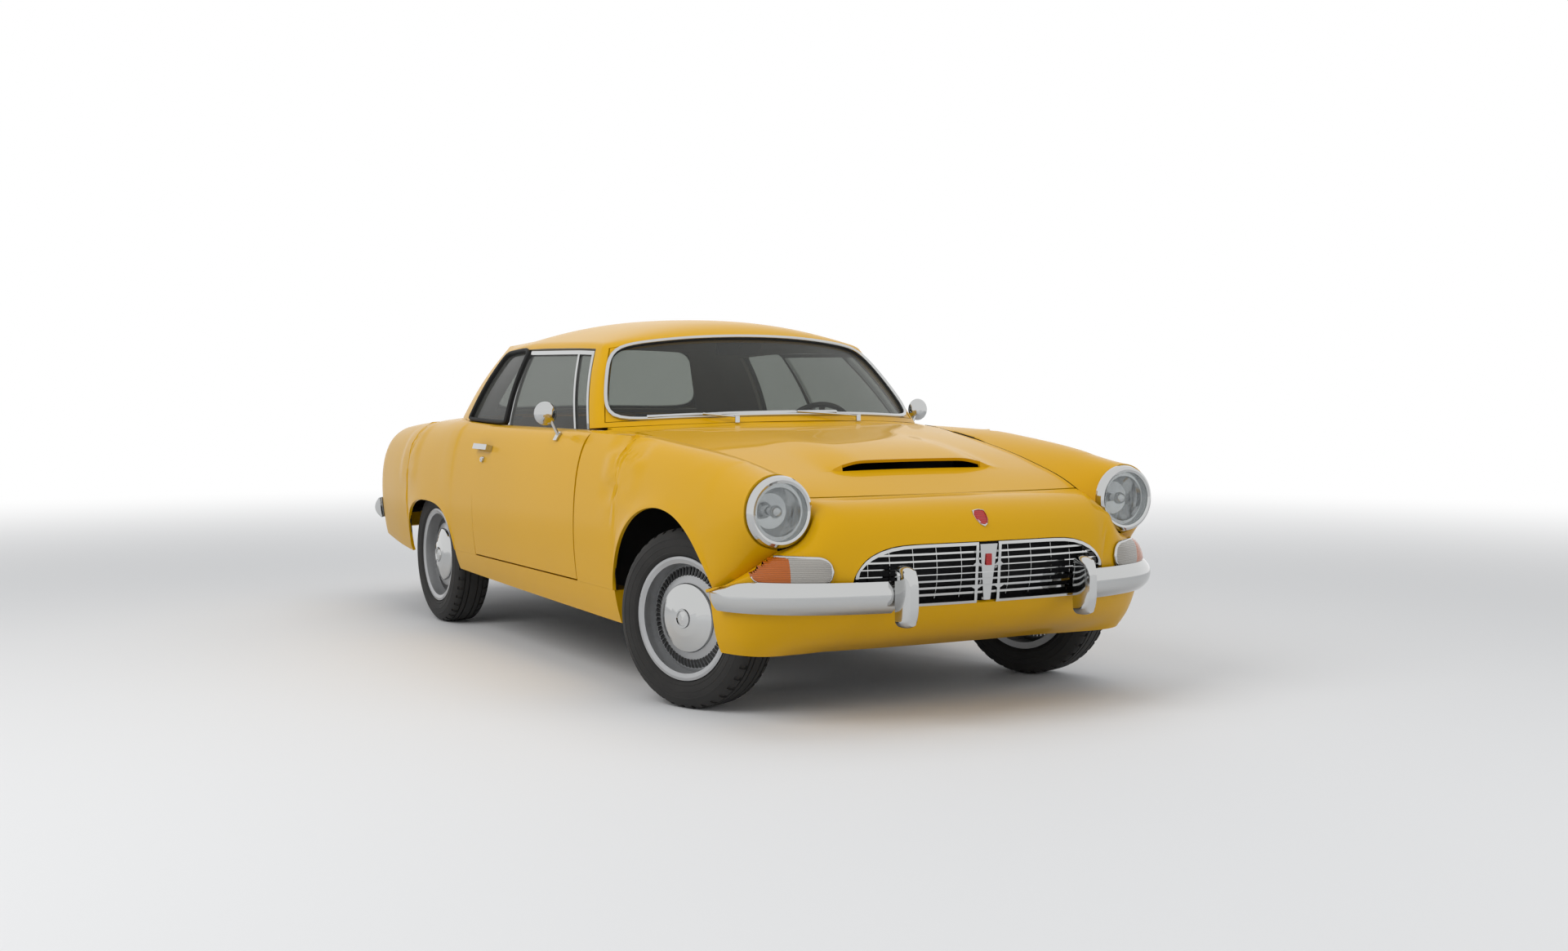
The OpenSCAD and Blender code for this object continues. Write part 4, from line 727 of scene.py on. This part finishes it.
class COUPE_OT_lamps(Operator):
    """Headlamps, indicators and tail lamps"""
    bl_idname = "coupe.lamps"
    bl_label = "Lamps"

    def execute(self, context):
        for side, sign in SIDES:
            self.indicator(side, sign)
        lamp_cover("tail_lamps", "tail_lamp_covers", "red", lambda c, n: n.x < -0.6, "red", "chrome")
        wear("headlamp_rims", "chrome")
        wear("headlamp_lenses", "lens")
        low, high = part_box("headlamp_lenses")
        reach = (high[2] - low[2]) / 2
        centre = Vector((low[0], high[1] - reach, low[2] + reach))
        bulb = turned("headlamp_bulb_left", BULB, centre, AHEAD, steps=32)
        for obj in both(bulb):
            put(smooth(obj), "body", "chrome", "chrome")
        return {"FINISHED"}

    def indicator(self, side, sign):
        """A long lens with round ends laid on the nose, amber outside and clear inside, in a bright edge"""
        skin = bpy.data.objects["nose_panel_skin"]
        middle, half = INDICATOR_MIDDLE, INDICATOR_HALF
        straight = half.x - half.y
        bpy.ops.object.select_all(action="DESELECT")
        bpy.ops.mesh.primitive_grid_add(x_subdivisions=40, y_subdivisions=12, size=2)
        lens = bpy.context.active_object
        lens.name = "indicator_lens_" + side
        for v in lens.data.vertices:
            u, w = v.co.x, v.co.y
            past = max(0, abs(u) * half.x - straight) / half.y
            height = max(half.y * math.sqrt(max(0, 1 - past ** 2)), 0.002)
            y, z = sign * (middle.x + u * half.x), middle.y + w * height
            hit, place, normal, _ = skin.ray_cast(Vector((BEYOND_NOSE, y, z)), -AHEAD)
            if not hit:
                _, place, normal, _ = skin.closest_point_on_mesh(Vector((BESIDE_NOSE, y, z)))
            crown = (1 - max(abs(u) ** 6, abs(w) ** 4)) * INDICATOR_CROWN
            v.co = place + normal * (INDICATOR_LIFT + crown)
        if sign > 0:
            lens.data.flip_normals()
        edge = twin(lens, "indicator_edge_" + side, Matrix())
        edit(edge)
        bpy.ops.mesh.select_all(action="SELECT")
        keep_border()
        done()
        put(round_bar(edge, INDICATOR_LIFT), "body", "chrome", "chrome")
        apply(lens, "SOLIDIFY", thickness=INDICATOR_WALL, offset=-1)
        put(smooth(whole(lens, False), 50), "body", "amber", "amber", "clear", replaced=("front_lamps",))
        paint_faces(lens, 1, lambda c, n: abs(c.y) < AMBER_START)


GRILLE_POSTS = (0.421, 0.348, 0.2665, 0.182, 0.091)
GRILLE_GAPS = 8
GRILLE_FOOT = 0.0075  # middle of the lowest bar over the grille's foot
GRILLE_HEAD = 0.0060  # middle of the top bar under the grille's head
BAR_REACH = 0.0042
BAR_THIN = 0.5
POST_REACH = 0.005
POST_THIN = 0.6
BADGE_HALF = 0.011
BADGE_DEPTH = (-0.0035, 0.0005)  # from the grille's front
BADGE_SPAN = (-0.075, -0.038)  # from the grille's head
CORE_GAP = 0.048
CORE_DEPTH = 0.014
CORE_MARGIN = 0.012
CORE_INSET = 0.01
MIRROR_PLACE = (0.3795, 0.8315, 0.9585)
# Radius and place along the axis
MIRROR_FACE = [(0, 0.0), (0.030, 0.0005), (0.036, 0.0015), (0.036, -0.004), (0, -0.004)]
LOCK_PLACE = (-0.335, 0.8285, 0.756)
LOCK = [(0, 0.006), (0.004, 0.0055), (0.0045, 0.0075), (0.009, 0.007), (0.0115, 0.004), (0.012, -0.004),
        (0, -0.004)]
EMBLEM_HEIGHT = 0.648
# Half the shield, across and up
SHIELD = [(0, -0.036), (0.014, -0.026), (0.023, -0.008), (0.025, 0.012), (0.022, 0.030), (0, 0.034)]
SHIELD_SINK = 0.001
SHIELD_THICK = 0.006
SHIELD_BEVEL = 0.0015
SHIELD_RIM = 0.004
SHIELD_STEP = 0.0008


def on_side(place, sign):
    """A place given for the left side, on either side"""
    return Vector((place[0], sign * place[1], place[2]))


class COUPE_OT_brightwork(Operator):
    """Bumpers, grille, door fittings, wipers and emblems"""
    bl_idname = "coupe.brightwork"
    bl_label = "Bright fittings"

    def execute(self, context):
        for node in ("front_bumpers", "rear_bumper", "door_trim_left", "door_trim_right"):
            dress(node, node + "_bright", "chrome", "chrome", levels=2, angle=45)
        self.grille()
        dress("wipers", "wiper_arms", "chrome", "chrome", "rubber", levels=1, angle=45)
        self.radiator()
        self.mirrors()
        self.locks()
        self.emblem()
        return {"FINISHED"}

    def grille(self):
        """The grille's frames, its bars drawn thinner at the front"""
        obj = copy_of("grille", "grille_bars")
        low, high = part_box("grille")
        foot = low[2] + GRILLE_FOOT
        step = (high[2] - GRILLE_HEAD - foot) / GRILLE_GAPS
        for v in obj.data.vertices:
            k = round((v.co.z - foot) / step)
            level = foot + k * step
            if 1 <= k < GRILLE_GAPS and abs(v.co.z - level) < BAR_REACH:
                v.co.z = level + (v.co.z - level) * BAR_THIN
            for y in GRILLE_POSTS:
                if abs(abs(v.co.y) - y) < POST_REACH:
                    v.co.y += (math.copysign(y, v.co.y) - v.co.y) * POST_THIN
        put(soften(obj, 1, 45), "body", "chrome", "chrome", replaced=("grille",))
        badge = block("grille_badge", (high[0] + BADGE_DEPTH[0], -BADGE_HALF, high[2] + BADGE_SPAN[0]),
                      (high[0] + BADGE_DEPTH[1], BADGE_HALF, high[2] + BADGE_SPAN[1]), bevel=0.0015)
        put(smooth(badge, 40), "body", "red", "red")

    def radiator(self):
        """The finned core behind the grille"""
        low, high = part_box("grille")
        back, front = low[0] - CORE_GAP - CORE_DEPTH, low[0] - CORE_GAP
        core = block("radiator_core", (back, low[1] + CORE_INSET, low[2] - CORE_MARGIN),
                     (front, high[1] - CORE_INSET, high[2] + CORE_MARGIN), bevel=0.003)
        put(core, "body", "black", "core")

    def mirrors(self):
        """The glass in each door mirror"""
        for side, sign in SIDES:
            glass = turned("mirror_glass_" + side, MIRROR_FACE, on_side(MIRROR_PLACE, sign), -AHEAD, steps=48)
            put(smooth(glass, 30), "door_" + side, "chrome", "mirror")

    def locks(self):
        """A lock under each door handle"""
        for side, sign in SIDES:
            lock = turned("door_lock_" + side, LOCK, on_side(LOCK_PLACE, sign), (0, sign, 0.05), steps=32)
            put(smooth(lock, 30), "door_" + side, "chrome", "chrome")

    def emblem(self):
        """A plain shield on the nose"""
        skin = bpy.data.objects["nose_panel_skin"]
        hit, place, normal, _ = skin.ray_cast(Vector((BEYOND_NOSE, 0, EMBLEM_HEIGHT)), -AHEAD)
        if not hit:
            raise RuntimeError("the emblem found no nose panel")
        outline = SHIELD + [(-a, b) for a, b in reversed(SHIELD[1:-1])]
        up = (UP - normal * UP.dot(normal)).normalized()
        across = up.cross(normal)
        obj = loop("nose_emblem", [place + across * a + up * b - normal * SHIELD_SINK for a, b in outline])
        edit(obj, "EDGE")
        bpy.ops.mesh.select_all(action="SELECT")
        bpy.ops.mesh.edge_face_add()
        bpy.ops.mesh.normals_make_consistent(inside=False)
        done()
        apply(obj, "SOLIDIFY", thickness=SHIELD_THICK, offset=0)
        apply(obj, "BEVEL", width=SHIELD_BEVEL, segments=3, limit_method="ANGLE")
        whole(obj)
        select_faces(obj, lambda c, n: n.dot(normal) > 0.95)
        edit(obj)
        bpy.ops.mesh.inset(thickness=SHIELD_RIM)
        bpy.ops.transform.shrink_fatten(value=-SHIELD_STEP)
        done()
        field = [p.index for p in obj.data.polygons if p.select]
        put(smooth(obj, 30), "body", "chrome", "chrome", "red")
        for k in field:
            obj.data.polygons[k].material_index = 1


# Radius and place along the axis, from the bead to the tread's middle rib
TYRE_HALF = [
    (0.1905, 0.0610), (0.2066, 0.0655), (0.2105, 0.0710), (0.2150, 0.0765), (0.2185, 0.0778),
    (0.2200, 0.0794), (0.2220, 0.0794), (0.2235, 0.0784), (0.2300, 0.0804), (0.2405, 0.0812),
    (0.2420, 0.0824), (0.2440, 0.0824), (0.2455, 0.0812), (0.2560, 0.0810), (0.2625, 0.0800),
    (0.2640, 0.0810), (0.2660, 0.0808), (0.2675, 0.0795), (0.2760, 0.0765), (0.2830, 0.0728),
    (0.2890, 0.0685), (0.2940, 0.0632), (0.2970, 0.0580), (0.2988, 0.0520), (0.2993, 0.0465),
    (0.2994, 0.0440), (0.2925, 0.0432), (0.2925, 0.0388), (0.2996, 0.0380), (0.2999, 0.0220),
    (0.2925, 0.0212), (0.2925, 0.0168), (0.3000, 0.0160),
]
TREAD_PITCH = 9  # degrees
TREAD_CUT = 3
SHOULDER = 0.0445
TREAD_START = 0.2895
TREAD_DEPTH = 0.005
# Radius, height and half width of a slot's painted shade, from the cap outwards
SLOT_SHADE_ROWS = ((0.1395, 0.0328, 0.0030), (0.1430, 0.0318, 0.0039), (0.1665, 0.0249, 0.0045),
             (0.1700, 0.0239, 0.0036))
SLOT_SHADE_DEPTH = 0.006
SLOT_SHADE_LIFT = 0.0006


class COUPE_OT_wheels(Operator):
    """Tyres with side rings and tread, slotted wheels with painted shade in their slots, hubcaps"""
    bl_idname = "coupe.wheels"
    bl_label = "Wheels"

    def execute(self, context):
        tyre = self.tyre()
        slots = self.slots(context.scene.coupe_forms.slots)
        for corner in CORNERS:
            low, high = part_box("tyre_" + corner)
            out = Vector(JOINTS["spin_" + corner]["axis"]) * (1 if "left" in corner else -1)
            centre = (Vector(low) + Vector(high)) / 2
            place = Matrix.Translation(centre) @ UP.rotation_difference(out).to_matrix().to_4x4()
            tread = smooth(twin(tyre, "tyre_tread_" + corner, place), 34)
            put(tread, body_with("tyre_" + corner), "tyre", "tyre", replaced=("tyre_" + corner,))
            # Black pieces of painted shade that darken the wheel slots
            put(twin(slots, "wheel_slots_" + corner, place), body_with("wheel_" + corner), "black", "black")
            wear("wheel_" + corner, "alloy")
            wear("hubcap_" + corner, "chrome")
        bpy.data.objects.remove(tyre)
        bpy.data.objects.remove(slots)
        return {"FINISHED"}

    def slots(self, count):
        """Black pieces of painted shade in the slots round a wheel's disc, at the origin"""
        outline = [(r, w, h) for r, h, w in SLOT_SHADE_ROWS] + [(r, -w, h) for r, h, w in reversed(SLOT_SHADE_ROWS)]
        obj = loop("wheel_slots", outline)
        edit(obj, "EDGE")
        bpy.ops.mesh.select_all(action="SELECT")
        bpy.ops.mesh.edge_face_add()
        bpy.ops.mesh.extrude_region_move(TRANSFORM_OT_translate={"value": (0, 0, -SLOT_SHADE_DEPTH)})
        bpy.ops.mesh.select_all(action="SELECT")
        bpy.ops.mesh.normals_make_consistent(inside=False)
        bpy.ops.transform.translate(value=(0, 0, SLOT_SHADE_LIFT))
        bpy.ops.mesh.spin(steps=count, angle=math.tau, dupli=True, center=(0, 0, 0), axis=UP)
        done()
        return whole(obj)

    def tyre(self):
        """One tyre at the origin: a turned section whose shoulder ribs are cut into blocks"""
        section = TYRE_HALF + [(r, -h) for r, h in reversed(TYRE_HALF)]
        obj = turned("tyre_pattern", section, steps=120)

        def block_cut(c, n):
            turn = math.degrees(math.atan2(c.y, c.x)) % TREAD_PITCH
            return turn < TREAD_CUT and abs(c.z) > SHOULDER and math.hypot(c.x, c.y) > TREAD_START

        select_faces(obj, block_cut)
        edit(obj)
        bpy.ops.mesh.extrude_region_shrink_fatten(TRANSFORM_OT_shrink_fatten={"value": -TREAD_DEPTH})
        done()
        return obj


PAD_VOXEL = 0.010
PAD_SWELL = 0.022
PAD_FRAMES = 20
SEAM_RUNOUT = 0.03


def padding(obj, cap):
    """Blows a pad up as cloth, each point held within cap of where it began"""
    only(obj)
    obj.data.remesh_voxel_size = PAD_VOXEL
    bpy.ops.object.voxel_remesh()
    start = [v.co.copy() for v in obj.data.vertices]
    cloth = obj.modifiers.new("Padding", "CLOTH")
    cloth.settings.use_pressure = True
    cloth.settings.uniform_pressure_force = 4
    cloth.settings.effector_weights.gravity = 0
    cloth.settings.quality = 4
    for step in range(1, PAD_FRAMES + 1):
        bpy.context.scene.frame_set(step)
    only(obj)
    bpy.ops.object.modifier_apply(modifier=cloth.name)
    bpy.context.scene.frame_set(1)
    for v, was in zip(obj.data.vertices, start):
        move = v.co - was
        if move.length > cap:
            v.co = was + move * (cap / move.length)
    return obj


def channels(obj, middle, half, pitch, depth, test):
    """Sews evenly spaced channels into a pad's face"""
    for v in obj.data.vertices:
        inside = half - abs(v.co.y - middle)
        if inside > 0 and test(v.co, v.normal):
            wave = abs(math.sin(math.pi * (v.co.y - middle) / pitch))
            v.co -= v.normal * depth * (1 - wave) ** 3 * min(1, inside / SEAM_RUNOUT)


# Half width, pitch and depth of the sewn channels
SEAT_CHANNELS = (0.165, 0.055, 0.007)
BENCH_CHANNELS = (0.19, 0.054, 0.006)
BENCH_MIDDLE = 0.265
SEAT_INNER = 0.146
CAD_SEAT_INNER = 0.132
SEAT_MARGIN = 0.014
SEAT_REAR = 0.165  # the rear of the seat's frame in the CAD seats' box
# Low and high corners of the left seat's blocks, ahead of its frame's rear and up from the floor
CUSHION = ((-0.028, 0.118), (0.408, 0.188))
BACK = ((-0.112, 0.250), (-0.062, 0.600))
FRAME = ((0, 0.0005), (0.385, 0.112))
STAY = ((-0.088, 0.09), (-0.05, 0.33))
BACK_PIVOT = (-0.085, 0.25)
BACK_LEAN = 14  # degrees
FRAME_INSET = 0.03
STAY_INSET = 0.09


class COUPE_OT_seats(Operator):
    """Padded front seats and rear bench"""
    bl_idname = "coupe.seats"
    bl_label = "Seats"

    def execute(self, context):
        self.front()
        self.bench()
        return {"FINISHED"}

    def front(self):
        """Left seat on its frame and stay, and the right one as its mirror image"""
        low, high = (Vector(c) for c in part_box("front_seats"))
        centre = (high.y + CAD_SEAT_INNER) / 2
        inner, outer = SEAT_INNER, high.y - SEAT_MARGIN
        x, z = low.x + SEAT_REAR, low.z

        def corners(box, inset=0):
            (back, foot), (front, head) = box
            return (x + back, inner + inset, z + foot), (x + front, outer - inset, z + head)

        cushion = self.pad("seat_cushion_left", *corners(CUSHION), bevel=0.03)
        channels(cushion, centre, *SEAT_CHANNELS, lambda c, n: n.z > 0.6)
        pivot = (x + BACK_PIVOT[0], 0, z + BACK_PIVOT[1])
        back = self.pad("seat_back_left", *corners(BACK), bevel=0.022, lean=(BACK_LEAN, pivot))
        channels(back, centre, *SEAT_CHANNELS, lambda c, n: n.x > 0.6)
        base = block("seat_frame_left", *corners(FRAME, FRAME_INSET), bevel=0.02)
        stay = block("seat_stay_left", *corners(STAY, STAY_INSET), bevel=0.012)
        for pad in (cushion, back):
            for piece in both(pad):
                self.upholster(piece, "front_seats")
        for part in (base, stay):
            for piece in both(part):
                put(smooth(piece, 40), "body", "black", "black")

    def bench(self):
        """Rear cushion and back, sewn as two places"""
        low, high = (Vector(c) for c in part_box("rear_seat"))
        left, right = low.y + SEAT_MARGIN, high.y - SEAT_MARGIN
        seat = self.pad("bench_cushion", (low.x + 0.128, left, low.z + 0.036),
                        (high.x - SEAT_MARGIN, right, low.z + 0.104), bevel=0.026)
        rest = self.pad("bench_back", (low.x + 0.052, left, low.z + 0.15),
                        (low.x + 0.088, right, high.z - 0.016), bevel=0.016)
        for obj, test in ((seat, lambda c, n: n.z > 0.6), (rest, lambda c, n: n.x > 0.6)):
            for middle in (-BENCH_MIDDLE, BENCH_MIDDLE):
                channels(obj, middle, *BENCH_CHANNELS, test)
            self.upholster(obj, "rear_seat")

    def pad(self, name, low, high, bevel, lean=None):
        """A padded block, leaned back about a pivot where lean says so"""
        obj = block(name, low, high, bevel, 4)
        if lean:
            angle, pivot = lean
            turn = Matrix.Rotation(math.radians(-angle), 4, "Y")
            obj.data.transform(Matrix.Translation(pivot) @ turn @ Matrix.Translation(-Vector(pivot)))
        return padding(obj, PAD_SWELL)

    def upholster(self, obj, node):
        """Smooths a pad and covers it in hide, in place of its CAD node"""
        apply(obj, "SUBSURF", levels=1, render_levels=1)
        put(smooth(obj, 70), "body", "hide", "hide", replaced=(node,))


DIAL_PLACE = (0.5655, 0.775)  # ahead and up
DIALS = ((0.445, 0.045), (0.335, 0.045), (0.235, 0.03), (0.165, 0.03))  # across, and radius
DASH_FACE = 0.57
COLUMN_SIDE = 0.36
COLUMN_HALF = 0.05
SPOKES = (0.04, 0.17)  # their reach from the hub
MIRROR_STEM = 1.25
CARD_FACE = 0.6885
ARMREST = ((-0.19, 0.61), (0.17, 0.655))  # low and high corner, ahead and up
ARMREST_DEPTH = 0.05
PULL_RADIUS = 0.005
# Ahead, inwards from the card, and up
PULL = ((0.26, 0, 0.72), (0.258, 0.02, 0.72), (0.24, 0.026, 0.72), (0.16, 0.026, 0.722), (0.14, 0.024, 0.723))


class COUPE_OT_cabin(Operator):
    """Dash with dials, steering wheel, door cards and inside mirror"""
    bl_idname = "coupe.cabin"
    bl_label = "Cabin"

    def execute(self, context):
        dash = dress("dashboard", "dash_panel", "hide", "hide", "black", levels=2, angle=30)
        paint_faces(dash, 1, lambda c, n: c.x < DASH_FACE and abs(c.y - COLUMN_SIDE) < COLUMN_HALF)
        wheel = dress("steering_wheel", "steering_rim", "black", "black", "steel", levels=1, angle=40)
        hub = Vector(JOINTS["steering_wheel_turn"]["pos_m"])
        paint_faces(wheel, 1, lambda c, n: SPOKES[0] < (c - hub).length < SPOKES[1])
        mirror = dress("interior_mirror", "inside_mirror", "black", "black", "mirror", levels=1, angle=40)
        paint_faces(mirror, 1, lambda c, n: n.x < -0.9 and c.z < MIRROR_STEM)
        for k, (y, r) in enumerate(DIALS):
            self.dial("dial_%d" % k, Vector((DIAL_PLACE[0], y, DIAL_PLACE[1])), r)
        for side, sign in SIDES:
            self.door_card(side, sign)
        return {"FINISHED"}

    def dial(self, name, place, r):
        """A dial's face in a bright ring"""
        axis = Vector((-1, 0, -0.1))
        edge, lip = r * 0.9, r * 0.88
        plate = [(0, 0.001), (edge, 0.001), (edge, -0.006), (0, -0.006)]
        rim = [(lip, 0.0035), (r * 0.94, 0.006), (r, 0.004), (r, -0.004), (lip, -0.004)]
        face = turned(name + "_face", plate, place, axis, steps=48)
        ring = turned(name + "_ring", rim, place, axis, steps=48)
        put(smooth(face), "body", "black", "dial")
        put(smooth(ring), "body", "chrome", "chrome")

    def door_card(self, side, sign):
        """Armrest and pull on a door's card"""
        y = sign * CARD_FACE
        near, far = sorted((y, y - sign * ARMREST_DEPTH))
        (rear, foot), (front, head) = ARMREST
        rest = block("armrest_" + side, (rear, near, foot), (front, far, head), bevel=0.018, segments=4)
        apply(rest, "SUBSURF", levels=1, render_levels=1)
        put(smooth(rest, 60), "door_" + side, "hide", "hide")
        path = [(ahead, y - sign * inwards, up) for ahead, inwards, up in PULL]
        pull = round_bar(loop("door_pull_" + side, path, closed=False), PULL_RADIUS)
        put(pull, "door_" + side, "chrome", "chrome")


CARPET_TOP = 0.42


class COUPE_OT_chassis(Operator):
    """Finishes of the floor and running gear"""
    bl_idname = "coupe.chassis"
    bl_label = "Chassis"

    def execute(self, context):
        carpeted = {
            ("floor_pan", "floor_tray"): lambda c, n: n.z > 0.3 and c.z < CARPET_TOP,
            ("bulkhead", "bulkhead_wall"): lambda c, n: n.x < -0.3,
            ("boot_floor", "boot_tray"): lambda c, n: n.z > 0.3 or n.x > 0.6,
        }
        for (node, name), test in carpeted.items():
            tray = dress(node, name, "chassis", "underseal", "carpet", levels=1, angle=30)
            paint_faces(tray, 1, test)
        for node in ("front_rails", "hinges", "rear_axle", "leaf_springs", "front_suspension", "knuckle_left",
                     "knuckle_right"):
            wear(node, "underseal")
        wear("engine", "iron")
        wear("exhaust", "steel")
        return {"FINISHED"}


FLOOR_SIZE = 80
FLOOR_FADE = (3.0, 11.0)  # where the floor turns into the white background
SKY_TINT = (0.93, 0.96, 1.0, 1)
SKY_LIGHT = 0.4
# Name, place, aim, size and power
LAMPS = (
    ("key", (2.5, -6.0, 5.5), (0.3, 0, 0.5), 5.0, 300),
    ("top", (0.0, 0.5, 5.5), (0, 0, 0), 4.5, 80),
    ("fill", (7.0, 2.5, 3.2), (0.8, 0, 0.6), 3.5, 90),
    ("back", (-6.0, 4.5, 3.0), (-0.5, 0, 0.8), 3.0, 60),
)
CAMERA_PLACE = (6.995, -3.418, 1.108)
CAMERA_PITCH = math.radians(3.118)  # downwards
CAMERA_YAW = math.radians(151.347)
CAMERA_LENS = 42.86
CAMERA_SENSOR = 36


class COUPE_OT_studio(Operator):
    """Floor, lights and the photo's camera"""
    bl_idname = "coupe.studio"
    bl_label = "Studio"

    def execute(self, context):
        self.floor(context)
        self.sky(context)
        for lamp in LAMPS:
            self.lamp(context, *lamp)
        self.camera(context)
        context.scene.view_settings.view_transform = "Standard"
        return {"FINISHED"}

    def floor(self, context):
        """A pale floor that turns into the white background far away"""
        bpy.ops.object.select_all(action="DESELECT")
        bpy.ops.mesh.primitive_plane_add(size=FLOOR_SIZE, location=(0, 0, 0))
        floor = context.active_object
        floor.name = "studio_floor"
        ground = Finish("studio_floor", Base_Color=tuple(context.scene.coupe_finishes.floor), Roughness=0.7)
        away = ground.node("ShaderNodeVectorMath", {"operation": "LENGTH"}, {0: ground.places()},
                           output="Value")
        fade = ground.node("ShaderNodeMapRange", {"interpolation_type": "SMOOTHSTEP"},
                           {"Value": away, "From Min": FLOOR_FADE[0], "From Max": FLOOR_FADE[1]})
        ground.mix(fade, ground.shader, ground.tree.nodes.new("ShaderNodeEmission"))
        floor.data.materials.append(ground.material)

    def lamp(self, context, name, place, aim, size, power):
        """A soft lamp that no surface mirrors"""
        bpy.ops.object.light_add(type="AREA", location=place)
        lamp = context.active_object
        lamp.name = name
        lamp.data.energy = power
        lamp.data.size = size
        lamp.visible_glossy = False
        lamp.rotation_euler = (Vector(aim) - Vector(place)).to_track_quat("-Z", "Y").to_euler()

    def camera(self, context):
        """The photo's camera"""
        level = math.cos(CAMERA_PITCH)
        look = Vector((math.cos(CAMERA_YAW) * level, math.sin(CAMERA_YAW) * level, -math.sin(CAMERA_PITCH)))
        bpy.ops.object.camera_add(location=CAMERA_PLACE)
        camera = context.active_object
        camera.rotation_euler = look.to_track_quat("-Z", "Y").to_euler()
        camera.data.sensor_width = CAMERA_SENSOR
        camera.data.lens = CAMERA_LENS
        context.scene.camera = camera

    def sky(self, context):
        """White to the camera, to reflections and through clear glass, and a weaker light to all else"""
        world = bpy.data.worlds.new("studio")
        context.scene.world = world
        world.use_nodes = True
        nodes, links = world.node_tree.nodes, world.node_tree.links
        light = nodes["Background"]
        light.inputs["Color"].default_value = SKY_TINT
        light.inputs["Strength"].default_value = SKY_LIGHT
        white = nodes.new("ShaderNodeBackground")
        white.inputs["Color"].default_value = (1, 1, 1, 1)
        ray = nodes.new("ShaderNodeLightPath")
        seen = ray.outputs["Is Camera Ray"]
        for kind in ("Is Glossy Ray", "Is Transmission Ray"):
            either = nodes.new("ShaderNodeMath")
            either.operation = "MAXIMUM"
            links.new(seen, either.inputs[0])
            links.new(ray.outputs[kind], either.inputs[1])
            seen = either.outputs[0]
        blend = nodes.new("ShaderNodeMixShader")
        links.new(seen, blend.inputs[0])
        links.new(light.outputs[0], blend.inputs[1])
        links.new(white.outputs[0], blend.inputs[2])
        links.new(blend.outputs[0], nodes["World Output"].inputs["Surface"])


class COUPE_PT_panel(Panel):
    """Lists the coupe's settings and pieces"""
    bl_label = "Coupe"
    bl_space_type = "VIEW_3D"
    bl_region_type = "UI"
    bl_category = "Coupe"

    def draw(self, context):
        for settings in (context.scene.coupe_finishes, context.scene.coupe_forms):
            for key in type(settings).__annotations__:
                self.layout.prop(settings, key)
        for step in STEPS:
            self.layout.operator(step.bl_idname)


STEPS = (COUPE_OT_shell, COUPE_OT_glazing, COUPE_OT_lamps, COUPE_OT_brightwork, COUPE_OT_wheels,
         COUPE_OT_seats, COUPE_OT_cabin, COUPE_OT_chassis, COUPE_OT_studio)
CLASSES = (FinishSettings, FormSettings, *STEPS, COUPE_PT_panel)


def register():
    for c in CLASSES:
        bpy.utils.register_class(c)
    bpy.types.Scene.coupe_finishes = PointerProperty(type=FinishSettings)
    bpy.types.Scene.coupe_forms = PointerProperty(type=FormSettings)


def unregister():
    del bpy.types.Scene.coupe_forms
    del bpy.types.Scene.coupe_finishes
    for c in reversed(CLASSES):
        bpy.utils.unregister_class(c)


def main():
    register()
    for name in ("Cube", "Light", "Camera"):
        if name in bpy.data.objects:
            bpy.data.objects.remove(bpy.data.objects[name])
    make_finishes(bpy.context.scene.coupe_finishes)
    for step in STEPS:
        family, name = step.bl_idname.split(".")
        getattr(getattr(bpy.ops, family), name)()


if __name__ == "__main__":
    main()
